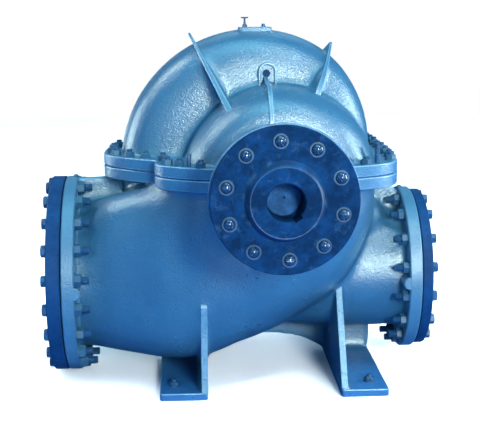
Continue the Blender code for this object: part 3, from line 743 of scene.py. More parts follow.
def object_place(tree):
    return tree.nodes.new("ShaderNodeTexCoord").outputs["Object"]


def build_cast_skin():
    """Sand grain, pits and lumps of a painted casting, with its mottled tone and a mask of its convex edges,
    where wear and a painted highlight go.
    """
    group, entry, leave = new_group("Cast skin", {"Grain": 1.0, "Lumps": 1.0},
                                    ("Height", "Mottle", "Edges", "Pits"))
    place = object_place(group)
    grain = noise_value(group, place, 230.0, 3.0, 0.65)
    coarse = noise_value(group, place, 115.0, 2.0, 0.5)
    lumps = noise_value(group, place, 30.0, 2.0, 0.5)
    pits = stretched(group, 0.68, 0.74, noise_value(group, place, 130.0, 1.0, 0.4))
    fine = maths(group, "MULTIPLY", maths(group, "MULTIPLY", grain, 0.80), entry.outputs["Grain"])
    middle = maths(group, "MULTIPLY", maths(group, "MULTIPLY", coarse, 0.80), entry.outputs["Grain"])
    broad = maths(group, "MULTIPLY", lumps, entry.outputs["Lumps"])
    height = maths(group, "ADD", maths(group, "ADD", fine, middle), broad)
    height = maths(group, "SUBTRACT", height, maths(group, "MULTIPLY", pits, 0.35))
    mottle = maths(group, "ADD", maths(group, "MULTIPLY", noise_value(group, place, 7.0, 4.0, 0.6), 0.65),
                   maths(group, "MULTIPLY", noise_value(group, place, 48.0, 3.0, 0.6), 0.35))
    edges = group.nodes.new("ShaderNodeNewGeometry").outputs["Pointiness"]
    group.links.new(height, leave.inputs["Height"])
    group.links.new(stretched(group, 0.36, 0.64, mottle), leave.inputs["Mottle"])
    group.links.new(stretched(group, 0.515, 0.56, edges), leave.inputs["Edges"])
    group.links.new(pits, leave.inputs["Pits"])
    return group


def build_turning_marks():
    """Fine rings left by a lathe about an axis along Y, with smears and stains of dried oil and rust."""
    group, entry, leave = new_group("Turning marks", {"Centre X": 0.0, "Centre Z": 0.0, "Rings": 420.0},
                                    ("Height", "Smears", "Stains"))
    split = group.nodes.new("ShaderNodeSeparateXYZ")
    group.links.new(object_place(group), split.inputs[0])
    u = maths(group, "SUBTRACT", split.outputs["X"], entry.outputs["Centre X"])
    v = maths(group, "SUBTRACT", split.outputs["Z"], entry.outputs["Centre Z"])
    squares = maths(group, "ADD", maths(group, "POWER", u, 2.0), maths(group, "POWER", v, 2.0))
    radius = maths(group, "SQRT", squares)
    ring = group.nodes.new("ShaderNodeCombineXYZ")
    group.links.new(radius, ring.inputs["X"])
    rings = noise_value(group, ring.outputs[0], entry.outputs["Rings"], 3.0, 0.7)
    smears = noise_value(group, object_place(group), 26.0, 5.0, 0.70, 0.4)
    group.links.new(rings, leave.inputs["Height"])
    group.links.new(stretched(group, 0.56, 0.84, smears), leave.inputs["Smears"])
    blotches = noise_value(group, object_place(group), 17.0, 5.0, 0.72)
    stains = maths(group, "ADD", maths(group, "MULTIPLY", blotches, 0.75),
                   maths(group, "MULTIPLY", rings, 0.25))
    group.links.new(stretched(group, 0.42, 0.62, stains), leave.inputs["Stains"])
    return group


def build_handling_wear():
    """Scuffs and grime on bare or thinly painted steel."""
    group, entry, leave = new_group("Handling wear", {"Amount": 0.5, "Scale": 40.0}, ("Scuffs", "Grime"))
    place = object_place(group)
    scuffs = stretched(group, 0.55, 0.68, noise_value(group, place, entry.outputs["Scale"], 5.0, 0.7))
    grime = stretched(group, 0.40, 0.70, noise_value(group, place, 13.0, 4.0, 0.6))
    group.links.new(maths(group, "MULTIPLY", scuffs, entry.outputs["Amount"]), leave.inputs["Scuffs"])
    group.links.new(maths(group, "MULTIPLY", grime, entry.outputs["Amount"]), leave.inputs["Grime"])
    return group


def effect(material, name, **values):
    """Places a shared effect in a material with its own values."""
    build = {"Cast skin": build_cast_skin, "Turning marks": build_turning_marks,
             "Handling wear": build_handling_wear}[name]
    node = material.node_tree.nodes.new("ShaderNodeGroup")
    node.node_tree = bpy.data.node_groups.get(name) or build()
    for label, value in values.items():
        node.inputs[label.replace("_", " ")].default_value = value
    return node


def blended(material, factor, first, second):
    """A colour that goes from first to second by a factor. Each is a colour or a socket."""
    tree = material.node_tree
    node = tree.nodes.new("ShaderNodeMix")
    node.data_type = "RGBA"
    tree.links.new(factor, node.inputs["Factor"])
    for label, value in (("A", first), ("B", second)):
        socket = next(s for s in node.inputs if s.name == label and s.type == "RGBA")
        if isinstance(value, bpy.types.NodeSocket):
            tree.links.new(value, socket)
        else:
            socket.default_value = (*value, 1.0)
    return next(s for s in node.outputs if s.type == "RGBA")


def scaled(colour, factor):
    return tuple(min(1.0, c * factor) for c in colour)


def toned(colour, share):
    """A colour moved a share of the way to pale blue."""
    return tuple(c + (target - c) * share for c, target in zip(colour, PALE_BLUE))


def new_material(name, metallic=0.0, **values):
    """A material with its shader's uniform values set on the shader's own sockets."""
    made = bpy.data.materials.new(name)
    made.use_nodes = True
    shader = made.node_tree.nodes["Principled BSDF"]
    shader.inputs["Metallic"].default_value = metallic
    for label, value in values.items():
        shader.inputs[label.replace("_", " ")].default_value = value
    shader.inputs["Specular Tint"].default_value = (*colours().highlight, 1.0)
    return made, shader


def bump(material, shader, height, distance):
    node = material.node_tree.nodes.new("ShaderNodeBump")
    node.inputs["Distance"].default_value = distance
    node.inputs["Strength"].default_value = 1.0
    material.node_tree.links.new(height, node.inputs["Height"])
    material.node_tree.links.new(node.outputs[0], shader.inputs["Normal"])


def roughness(material, shader, value, low, high):
    """Roughness that varies with a value between low and high."""
    node = material.node_tree.nodes.new("ShaderNodeMapRange")
    node.inputs["To Min"].default_value = low
    node.inputs["To Max"].default_value = high
    material.node_tree.links.new(value, node.inputs["Value"])
    material.node_tree.links.new(node.outputs["Result"], shader.inputs["Roughness"])


def painted_iron(name, paint, hollow, grain, lumps, relief, rough, gloss=0.5, edge_wear_and_highlight_share=0.0):
    """Paint over a sand casting: mottled, rough, darker in pits and paler along its edges."""
    made = bpy.data.materials.get(name)
    if made:
        return made
    made, shader = new_material(name, Specular_IOR_Level=gloss, IOR=1.65)
    skin = effect(made, "Cast skin", Grain=grain, Lumps=lumps)
    colour = blended(made, skin.outputs["Mottle"], hollow, paint)
    # Convex edges go paler: wear, and a painted highlight.
    if edge_wear_and_highlight_share:
        colour = blended(made, skin.outputs["Edges"], colour, toned(paint, edge_wear_and_highlight_share))
    colour = blended(made, skin.outputs["Pits"], colour, scaled(hollow, 0.7))
    made.node_tree.links.new(colour, shader.inputs["Base Color"])
    roughness(made, shader, skin.outputs["Mottle"], *rough)
    bump(made, shader, skin.outputs["Height"], relief)
    return made


def casting_paint():
    """The paint of the cast skins, paler along their edges from wear and from a painted highlight."""
    return painted_iron("casting_paint", colours().casting, colours().casting_dark, grain=1.0, lumps=0.15,
                        relief=0.0014, rough=(0.33, 0.27), gloss=1.0, edge_wear_and_highlight_share=0.22)


def rib_paint_rubbed_and_highlit():
    """Paint on ribs and raised rims, a little paler: rubbed, and a painted highlight on their lit faces."""
    return painted_iron("rib_paint_rubbed_and_highlit", toned(colours().casting, 0.10), colours().casting, grain=0.8, lumps=0.2,
                        relief=0.0011, rough=(0.36, 0.28), gloss=1.0)


def rib_edge_highlight_paint():
    """Paint on the outer edges of the feet's ribs, pale and speckled: a painted highlight."""
    return painted_iron("rib_edge_highlight_paint", toned(colours().casting, 0.30), toned(colours().casting, 0.12),
                        grain=1.0, lumps=0.3, relief=0.0030, rough=(0.34, 0.26), gloss=1.0)


def edge_wear_and_highlight():
    """Paint along the rounded edges of cast plates, paler from rubbing and from a painted highlight."""
    return painted_iron("edge_wear_and_highlight_paint", toned(colours().casting, 0.30), toned(colours().casting, 0.14),
                        grain=0.8, lumps=0.2, relief=0.0011, rough=(0.32, 0.24), gloss=1.0)


def foot_paint_with_painted_light():
    """A bluer, brighter copy of the casting paint on the feet's plates: painted light on their upward faces.
    """
    return painted_iron("foot_paint_with_painted_light", (0.026, 0.150, 0.360), (0.017, 0.110, 0.290), grain=0.8, lumps=0.4,
                        relief=0.0012, rough=(0.50, 0.40), gloss=0.3)


def ring_paint():
    """Paint on the nozzle flanges and on the boss under each."""
    return painted_iron("ring_paint", toned(colours().casting, 0.05), colours().casting, grain=0.8, lumps=0.2,
                        relief=0.0011, rough=(0.42, 0.36), gloss=0.7)


def plate_paint():
    """The smoother paint on the split flange's rims, the vent's pad and plate and the bearing covers."""
    return painted_iron("plate_paint", scaled(colours().casting, 1.3), scaled(colours().casting_dark, 1.2),
                        grain=0.9, lumps=0.3, relief=0.0012, rough=(0.38, 0.30), gloss=0.65)


def blind_paint():
    """The dark, dull paint on the blind flanges."""
    return painted_iron("blind_cover_paint", colours().blind, scaled(colours().blind, 0.6), grain=0.35,
                        lumps=0.2, relief=0.0009, rough=(0.60, 0.50), gloss=0.08)


def nut_paint():
    """The castings' paint where it runs over the nuts of the flanges."""
    return painted_iron("nut_paint", scaled(colours().casting, 0.9), scaled(colours().casting_dark, 0.65),
                        grain=0.35, lumps=0.15, relief=0.0006, rough=(0.50, 0.42), gloss=0.35)


def turned_metal(name, base, pale, rings, rough, relief, metallic=0.0, gloss=0.5):
    """Metal from a lathe, with rings about the shaft, stains and paler smears."""
    made = bpy.data.materials.get(name)
    if made:
        return made
    made, shader = new_material(name, metallic=metallic, Specular_IOR_Level=gloss)
    marks = effect(made, "Turning marks", Centre_X=AXES.x, Centre_Z=SHAFT_HEIGHT, Rings=rings)
    stained = blended(made, marks.outputs["Stains"], scaled(base, 0.55), scaled(base, 1.25))
    colour = blended(made, marks.outputs["Smears"], stained, pale)
    made.node_tree.links.new(colour, shader.inputs["Base Color"])
    roughness(made, shader, marks.outputs["Smears"], *rough)
    bump(made, shader, marks.outputs["Height"], relief)
    return made


def coupling_iron():
    """The coupling's dull dark iron."""
    return turned_metal("dark_turned_iron", colours().coupling, toned(colours().coupling, 0.09), rings=520.0,
                        rough=(0.66, 0.56), relief=0.00035, gloss=0.04)


def rim_iron():
    """The paler band round the coupling's disc."""
    return turned_metal("rim_iron", scaled(colours().steel, 0.8), toned(colours().steel, 0.2), rings=900.0,
                        rough=(0.40, 0.55), relief=0.0002)


def boss_shoulder_painted_highlight_iron():
    """The shoulder of the coupling's boss, glossier than its faces and brighter in colour as a painted
    highlight.
    """
    return turned_metal("boss_shoulder_painted_highlight_iron", scaled(colours().coupling, 1.3), toned(colours().coupling, 0.2),
                        rings=900.0, rough=(0.46, 0.38), relief=0.0002)


def shaft_face():
    """Oxidised steel of the shaft."""
    return turned_metal("shaft_face", (0.014, 0.090, 0.250), toned(colours().fastener, 0.25), rings=260.0,
                        rough=(0.60, 0.50), relief=0.0005, gloss=0.15)


def bright_steel():
    """Bare steel of the sleeves and thrower rings."""
    return turned_metal("bright_steel", colours().steel, toned(colours().steel, 0.35), rings=700.0,
                        rough=(0.30, 0.44), relief=0.0003, metallic=0.75)


def pin_ring():
    """Dull steel of the rings round the coupling's pins."""
    return turned_metal("pin_ring", scaled(colours().steel, 0.26), scaled(colours().steel, 0.50), rings=300.0,
                        rough=(0.46, 0.58), relief=0.0002)


def handled(name, base, grimy, scuffed, amount, scale, rough, relief, raised="Scuffs", **values):
    """A surface with the marks of handling: a grimy tone, a scuffed one or both, and a relief of one mark."""
    made = bpy.data.materials.get(name)
    if made:
        return made
    made, shader = new_material(name, **values)
    wear = effect(made, "Handling wear", Amount=amount, Scale=scale)
    colour = base
    for mark, tone in (("Grime", grimy), ("Scuffs", scuffed)):
        if tone:
            colour = blended(made, wear.outputs[mark], colour, tone)
    made.node_tree.links.new(colour, shader.inputs["Base Color"])
    roughness(made, shader, wear.outputs["Grime"], *rough)
    bump(made, shader, wear.outputs[raised], relief)
    return made


def fastener_paint():
    """Thin paint over nuts, studs and plugs, with grime and pale scuffs."""
    return handled("fastener_paint", colours().fastener, scaled(colours().fastener, 0.45),
                   toned(colours().fastener, 0.16), amount=0.8, scale=120.0, rough=(0.34, 0.55),
                   relief=0.0004, metallic=0.1)


def pin_steel():
    """Oiled steel of the pins' domes."""
    dark = scaled(colours().coupling, 0.8)
    return handled("polished_steel", dark, None, toned(dark, 0.25), amount=0.5, scale=160.0,
                   rough=(0.22, 0.34), relief=0.0001, raised="Grime", Coat_Weight=0.6, Coat_Roughness=0.12)


def gasket_sheet():
    """Compressed fibre with a few pale scuffs."""
    dark = (0.008, 0.055, 0.160)
    return handled("pressed_fibre", dark, None, toned(dark, 0.1), amount=0.6, scale=300.0,
                   rough=(0.65, 0.85), relief=0.0002)


def bronze():
    """Bronze of the gland followers, dull with grime."""
    base = (0.12, 0.25, 0.40)
    return handled("worn_bronze", toned(base, 0.2), scaled(base, 0.5), None, amount=0.7, scale=60.0,
                   rough=(0.36, 0.6), relief=0.0003, metallic=0.7)


def for_camera(tree, seen, otherwise):
    """One shader for what the camera sees directly and another for light and reflections."""
    path = tree.nodes.new("ShaderNodeLightPath")
    choice = tree.nodes.new("ShaderNodeMixShader")
    tree.links.new(path.outputs["Is Camera Ray"], choice.inputs[0])
    tree.links.new(otherwise, choice.inputs[1])
    tree.links.new(seen, choice.inputs[2])
    return choice.outputs[0]


def floor_paint():
    """A pale floor that sends only a little blue light back up."""
    made, shader = new_material("studio_floor")
    tree = made.node_tree
    tone = noise_value(tree, object_place(tree), 1.3, 3.0, 0.5)
    base = colours().floor
    tree.links.new(blended(made, tone, scaled(base, 0.985), base), shader.inputs["Base Color"])
    shader.inputs["Roughness"].default_value = 0.8
    dim = tree.nodes.new("ShaderNodeBsdfDiffuse")
    dim.inputs["Color"].default_value = (*FLOOR_BOUNCE, 1.0)
    choice = for_camera(tree, shader.outputs[0], dim.outputs[0])
    tree.links.new(choice, tree.nodes["Material Output"].inputs["Surface"])
    return made


# Casing forms


def shell_ring(radii, start, end, steps, y, scale):
    """One outline round the shaft, from one angle to another, in the plane at y."""
    ring = []
    for k in range(steps + 1):
        angle = start + (end - start) * k / steps
        ring.append(about("Y", scale(read_radius(radii, angle)), radians(angle), y, SHAFT_CENTRE))
    return ring


def chamber(radii, section, start, end, steps):
    """A suction chamber that bulges to both sides of the volute."""
    half = [(y, s) for y, s in smooth_rows(section, 3) if y > 0.0]
    levels = [(-y, s) for y, s in reversed(half)] + [(0.0, 1.0)] + half
    return loft([shell_ring(radii, start, end, steps, y, lambda r, s=s: r * s) for y, s in levels])


def volute(start, end, steps):
    """The spiral shell in the middle, with rounded shoulders."""
    slices = 12
    rings = []
    for k in range(-slices, slices + 1):
        turn = k / slices * pi / 2
        y = VOLUTE_HALF_WIDTH * copysign(abs(sin(turn)) ** (2 / VOLUTE_ROUNDNESS), k)
        share = max(cos(turn), 0.0) ** (2 / VOLUTE_ROUNDNESS)
        rings.append(shell_ring(VOLUTE_RADII, start, end, steps, y,
                                lambda r, share=share: VOLUTE_CORE + (r - VOLUTE_CORE) * share))
    return loft(rings)


def volute_band(start, end, steps):
    return loft([shell_ring(VOLUTE_RADII, start, end, steps, y, lambda r: r + BAND_HEIGHT)
                 for y in (-BAND_HALF_WIDTH, BAND_HALF_WIDTH)])


def split_outline(inset=0.0):
    """The split flange's outline with its corners rounded, drawn in by a distance."""
    whole = SPLIT_OUTLINE + tuple((x, -y) for x, y in SPLIT_OUTLINE[-2:0:-1])
    outline = [Vector(point) for point in rounded(whole, 0.03, 3, inner=0.004)]
    drawn = []
    for k, point in enumerate(outline):
        along = outline[(k + 1) % len(outline)] - outline[k - 1]
        inward = Vector((-along.y, along.x)).normalized()
        drawn.append(tuple(point + inward * inset))
    return drawn


def branch(steps):
    """Rounded sections that grow from a round pipe into a squarer, wider chamber."""
    rings = []
    for x, half_width, bottom, top, square_below, square_above, valley in smooth_rows(SUCTION_BRANCH, 4):
        middle, half_height = (top + bottom) / 2, (top - bottom) / 2
        ring = []
        for k in range(steps):
            c, s = cos(2 * pi * k / steps), sin(2 * pi * k / steps)
            power = 2 / (square_above if s > 0.0 else square_below)
            y = half_width * copysign(abs(c) ** power, c)
            z = middle + half_height * copysign(abs(s) ** power, s)
            if s > 0.0:
                z -= valley * exp(-((y / VALLEY_WIDTH) ** 2))
            ring.append((x, y, z))
        rings.append(ring)
    return loft(rings)


def gusset(foot, tip, edge, shrink=0.0):
    """A rib that stands across the casing, from both suction domes up to one tip above the rim.

    With shrink it is the smaller core that the casting's skin grows round.
    """
    up = Vector((tip[0] - foot[0], 0.0, tip[1] - foot[1]))
    across = Vector((-up.z, 0.0, up.x)).normalized()
    outline = [(share, y - shrink) for share, y in edge]
    outline += [(share, -y) for share, y in reversed(outline)]
    if shrink:
        outline = [(share - 0.04, y) for share, y in outline if abs(y) > 0.02]
    rings = []
    for side in (-1, 1):
        ring = []
        for share, y in outline:
            half = GUSSET_FOOT + (GUSSET_TIP - GUSSET_FOOT) * min(max(share, 0.0), 1.0) - shrink * 0.4
            ring.append(tuple(Vector((foot[0], y, foot[1])) + up * share + across * half * side))
        rings.append(ring)
    return loft(rings)


def foot_rib(edge, end):
    """A foot rib's outline across the pump, from its outer edge and the end that it meets the casing at."""
    half = ((FOOT_END, 0.004),) + edge + (end,)
    return half + tuple((-y, z) for y, z in reversed(half))


def rib_edge(edge):
    """The outline of a strip along a foot rib's outer edge, a little proud of it, that carries a painted
    highlight.
    """
    proud = [(y + RIB_EDGE_PROUD, z) for y, z in edge]
    return proud + [(y - RIB_EDGE_DEPTH, z - 0.004) for y, z in reversed(edge)]


def gusset_root(foot, tip, side):
    """A wedge that thickens a gusset where it leaves the volute's flat side, thinner towards the tip."""
    up = Vector((tip[0] - foot[0], 0.0, tip[1] - foot[1]))
    across = Vector((-up.z, 0.0, up.x)).normalized()
    rings = []
    for share in (-0.15, 0.0, 0.25, 0.5):
        width = GUSSET_ROOT * (1 - share)
        base = Vector((foot[0], 0.0, foot[1])) + up * share
        corners = ((0.0, 0.160), (width, 0.160), (width, VOLUTE_HALF_WIDTH + 0.004),
                   (0.0, 0.180 + width * 2.2))
        rings.append([tuple(base + across * w + Vector((0.0, side * y, 0.0))) for w, y in corners])
    return loft(rings)


def stuffing_boxes():
    """Both stuffing boxes, as one bar along the shaft."""
    ends = ((STUFFING_BOX_RADIUS, -STUFFING_BOX_END), (STUFFING_BOX_RADIUS, STUFFING_BOX_END))
    return turned("Y", ends, 64, SHAFT_CENTRE)


def arch_outline(radius):
    top = [(radius * cos(radians(a)), ARCH_PAD_HEIGHT + radius * sin(radians(a))) for a in range(0, 181, 12)]
    return [(radius, ARCH_FOOT)] + top + [(-radius, ARCH_FOOT)]


# Pieces


def build_lower_casing():
    """The lower casting: belly, spiral, branch, discharge pipe, boxes, ribs, webs and feet.

    The split flange and the feet are drawn in a little, to stay inside the crisp pieces that cover them.
    """
    centre = (0.0, NOZZLE_HEIGHT)
    suction, discharge = NOZZLES["suction"]["pipe"], NOZZLES["discharge"]["pipe"]
    suction_pipe = ((suction, -0.645), (suction, -0.560))
    discharge_pipe = ((discharge - 0.015, 0.050), (discharge, 0.250), (discharge, 0.470))
    web_post = ((0.012, 0.570), (0.012, 0.705))
    left_rib = foot_rib(LEFT_RIB, (0.320, 0.380))
    right_rib = foot_rib(RIGHT_RIB, (0.120, 0.440))
    shapes = [
        chamber(BELLY_RADII, BELLY_SECTION, 10, -190, 100),
        volute(170, 345, 70),
        volute_band(170, 300, 60),
        branch(96),
        turned("X", suction_pipe, 96, centre),
        turned("X", discharge_pipe, 96, centre),
        prism("Z", split_outline(INSET), SHAFT_HEIGHT - SPLIT_FLANGE + INSET, SHAFT_HEIGHT + OVERLAP),
        stuffing_boxes(),
        block((LEFT_FOOT[0] + 0.006, 0.006 - FOOT_END, 0.004),
              (LEFT_FOOT[1] - 0.004, FOOT_END - 0.006, 0.021)),
        block((RIGHT_FOOT[0] + 0.004, 0.006 - FOOT_END, 0.004),
              (RIGHT_FOOT[1] - 0.006, FOOT_END - 0.006, 0.021)),
        prism("X", left_rib, LEFT_FOOT[1] - RIB, LEFT_FOOT[1]),
        prism("X", right_rib, RIGHT_FOOT[0], RIGHT_FOOT[0] + RIB),
        prism("Y", FOOT_WEB, 0.100, 0.130),
        prism("Y", SUCTION_WEB, -NECK_WEB, NECK_WEB),
        prism("Y", DISCHARGE_WEB, -NECK_WEB, NECK_WEB),
        turned("Z", web_post, 20, (-0.502, -0.012)),
    ]
    joint_face = SHAFT_HEIGHT - SPLIT_GAP
    casting("lower_casting", shapes, sizes().lower_voxel, joint_face, False, "lower_casing")
    for name, foot in (("left_foot", LEFT_FOOT), ("right_foot", RIGHT_FOOT)):
        corners = rectangle((foot[0], -FOOT_END), (foot[1], FOOT_END))
        plate = prism("Z", rounded(corners, 0.012), 0.0, FOOT_THICKNESS)
        # The plates take a brighter paint: painted light on their upward faces.
        piece(name + "_plate", plate, foot_paint_with_painted_light(), bevel=sizes().edge_bevel,
              wear_and_highlight=edge_wear_and_highlight())
    # Pale strips along the ribs' outer edges: a painted highlight.
    proud = 0.0006
    for name, edge, low in (("left_foot", LEFT_RIB, LEFT_FOOT[1] - RIB),
                            ("right_foot", RIGHT_RIB, RIGHT_FOOT[0])):
        strips = [prism("X", [(side * y, z) for y, z in rib_edge(edge)], low - proud, low + RIB + proud)
                  for side in (-1, 1)]
        piece(name + "_rib_edge_highlights", merged(strips), rib_edge_highlight_paint(), bevel=0.0025)


def build_upper_casing():
    """The upper casting: spiral, suction domes, gussets, crown rib, pads and boxes."""
    shapes = [
        volute(-12, 192, 96),
        volute_band(-10, 190, 90),
        chamber(DOME_RADII, DOME_SECTION, -10, 190, 96),
        prism("Z", split_outline(INSET), SHAFT_HEIGHT - OVERLAP, SHAFT_HEIGHT + SPLIT_FLANGE - INSET),
        stuffing_boxes(),
        prism("X", [(y * 0.985, z - 0.006) for y, z in CROWN_RIB], CROWN_RIB_X - 0.0035,
              CROWN_RIB_X + 0.0035),
        block(*VENT_PAD_CORE),
    ]
    shapes += [gusset(foot, tip, edge, 0.004) for _, foot, tip, edge in GUSSETS]
    shapes += [gusset_root(*GUSSETS[1][1:3], side) for side in (-1, 1)]
    joint_face = SHAFT_HEIGHT + SPLIT_GAP
    upper = casting("upper_casting", shapes, sizes().upper_voxel, joint_face, True, "upper_casing")
    tapping = turned("Y", ((TAPPING_RADIUS + 0.0015, -0.2), (TAPPING_RADIUS + 0.0015, -0.1602)), 32, TAPPING)
    carve(upper, tapping)
    # Gussets and crown rib take the paler rib paint: rubbing, and a painted highlight.
    for name, foot, tip, edge in GUSSETS:
        piece(name, gusset(foot, tip, edge), rib_paint_rubbed_and_highlit(), bevel=0.0030, wear_and_highlight=edge_wear_and_highlight())
    crown = prism("X", CROWN_RIB, CROWN_RIB_X - CROWN_RIB_WIDTH / 2, CROWN_RIB_X + CROWN_RIB_WIDTH / 2)
    piece("crown_rib", crown, rib_paint_rubbed_and_highlit(), bevel=0.0030, wear_and_highlight=edge_wear_and_highlight())
    build_arch_pads()
    piece("vent_pad", block(*VENT_PAD), plate_paint(), bevel=0.002)


def build_arch_pads():
    """The pads over the arch, front and back, each with a raised rim, the front one with a tapped hole."""
    inside = 0.160
    outline = arch_outline(ARCH_PAD - 0.003)
    hole = circle(TAPPING_RADIUS, 32, TAPPING)
    rim = arch_outline(ARCH_PAD) + arch_outline(ARCH_PAD - ARCH_RIM)[::-1]
    for name, side in (("front_arch_pad", -1), ("back_arch_pad", 1)):
        low, high = sorted((side * ARCH_PAD_FACE, side * inside))
        if side < 0:
            shape = plate_with_hole(outline, hole, low, high)
        else:
            shape = prism("Y", outline, low, high)
        piece(name, shape, casting_paint(), bevel=0.002)
        low, high = sorted((side * ARCH_RIM_FACE, side * inside))
        # The arch rims take the paler rib paint: rubbing, and a painted highlight.
        piece(name + "_rim", prism("Y", rim, low, high), rib_paint_rubbed_and_highlit(), bevel=0.003,
              wear_and_highlight=edge_wear_and_highlight())


def plate_with_hole(outline, hole, low, high):
    """A plate across Y with one hole, its faces made of triangles between the two outlines."""
    flat = bmesh.new()
    loops = []
    for loop in (outline, hole):
        points = [flat.verts.new((u, v, 0.0)) for u, v in loop]
        loops += [flat.edges.new((points[k - 1], points[k])) for k in range(len(points))]
    bmesh.ops.triangle_fill(flat, edges=loops, use_beauty=True)
    flat.verts.index_update()
    count = len(flat.verts)
    points = [(p.co.x, y, p.co.y) for y in (low, high) for p in flat.verts]
    faces = [tuple(p.index for p in face.verts) for face in flat.faces]
    faces += [tuple(count + i for i in face[::-1]) for face in faces]
    start = 0
    for loop in (outline, hole):
        for k in range(len(loop)):
            a, b = start + k, start + (k + 1) % len(loop)
            faces.append((a, b, count + b, count + a))
        start += len(loop)
    flat.free()
    return points, faces


def build_split_flange():
    """The two crisp flange rims with their studs, nuts, jacking bolts and taper pins."""
    low, high = SHAFT_HEIGHT - SPLIT_FLANGE, SHAFT_HEIGHT + SPLIT_FLANGE
    for name, bottom, top in (("lower_split_rim", low, SHAFT_HEIGHT - SPLIT_GAP),
                              ("upper_split_rim", SHAFT_HEIGHT + SPLIT_GAP, high)):
        piece(name, prism("Z", split_outline(), bottom, top), plate_paint(),
              bevel=sizes().edge_bevel, wear_and_highlight=edge_wear_and_highlight())
    radius = sizes().split_nut
    nuts, studs = [], []
    under, height = 0.002, radius * 0.88
    turns = random_turns(2 * len(SPLIT_STUDS), 11)
    for k, (x, y) in enumerate(SPLIT_STUDS):
        for side in (1, -1):
            if side == 1 or y:
                place = pointing("+Z", (x, y * side, high), turns.pop())
                nuts.append(placed(nut_on_washer(radius, height, under), place))
                studs.append(placed(stud_end(radius * 0.55, under + height, 0.007 + 0.002 * (k % 3)), place))
    for x, y in JACKING_BOLTS:
        studs.append(placed(threaded(0.0085, 0.062), pointing("+Z", (x, y, high))))
    for x, y in TAPER_PINS:
        studs.append(placed(turned("Z", ((0.0065, 0.0), (0.0075, 0.036), (0.006, 0.039)), 16),
                            pointing("+Z", (x, y, high))))
    piece("split_flange_fasteners", merged(nuts), nut_paint(), angle=30)
    fasteners("split_flange_studs", merged(studs))


def flange_ring(face, side, thickness, radius, pipe):
    """A nozzle's flange with a fillet to its pipe."""
    back = face - side * thickness
    fillet = 0.014
    curve = [(pipe + fillet * (1 - sin(radians(a))), back - side * fillet * (1 - cos(radians(a))))
             for a in range(0, 91, 15)]
    edge = 0.0035
    profile = [(pipe - 0.03, face), (radius - edge, face), (radius, face - side * edge),
               (radius, back + side * edge), (radius - edge, back)]
    profile += curve + [(pipe - 0.03, back - side * fillet)]
    return turned("X", profile, 128, (0.0, NOZZLE_HEIGHT), closed=True)


def bolt_places(count, circle_radius, turn):
    for k in range(count):
        angle = 2 * pi * (k + 0.5) / count + turn
        yield circle_radius * cos(angle), NOZZLE_HEIGHT + circle_radius * sin(angle)


def build_nozzle(name, nut, face, thickness, radius, pipe, blind, blind_radius, count, bolt_circle, turn,
                 head, reach):
    """One nozzle's flange, its blind flange, the bolt heads outside and the nuts inside."""
    side = 1 if face > 0 else -1
    back = face - side * thickness
    boss = turned("Y", ((0.0180, -radius + 0.120), (0.0210, -radius + 0.100), (0.0210, -radius + 0.004),
                        (0.0180, -radius + 0.001)), 32, (back, NOZZLE_HEIGHT))
    piece(name + "_flange", flange_ring(face, side, thickness, radius, pipe), ring_paint(),
          angle=30)
    piece(name + "_gauge_boss", boss, ring_paint(), angle=30)
    inner = face + side * 0.0036
    outer = inner + side * blind
    lip, step = 0.003, 0.0015
    cover = ((0.012, inner), (blind_radius - lip, inner), (blind_radius, inner + side * lip),
             (blind_radius, outer - side * lip), (blind_radius - lip, outer), (blind_radius * 0.60, outer),
             (blind_radius * 0.59, outer - side * step), (0.012, outer - side * step))
    outward, inward = ("+X", "-X") if side > 0 else ("-X", "+X")
    heads, nuts, studs = [], [], []
    under, height = 0.002, nut * 0.95
    turns = random_turns(2 * count, count)
    for y, z in bolt_places(count, bolt_circle, turn):
        heads.append(placed(hexagon(head, BOLT_HEAD_HEIGHT), pointing(outward, (outer, y, z), turns.pop())))
        seat = pointing(inward, (back, y, z), turns.pop())
        nuts.append(placed(nut_on_washer(nut, height, under), seat))
        studs.append(placed(stud_end(nut * 0.60, under + height, reach), seat))
    piece(name + "_blind_cover", turned("X", cover, 128, (0.0, NOZZLE_HEIGHT)), blind_paint(),
          angle=30, replaced=(name + "_blind_flange",))
    piece(name + "_bolt_heads", merged(heads), fastener_paint(), angle=30)
    piece(name + "_stud_nuts", merged(nuts), nut_paint(), angle=30)
    fasteners(name + "_studs", merged(studs))


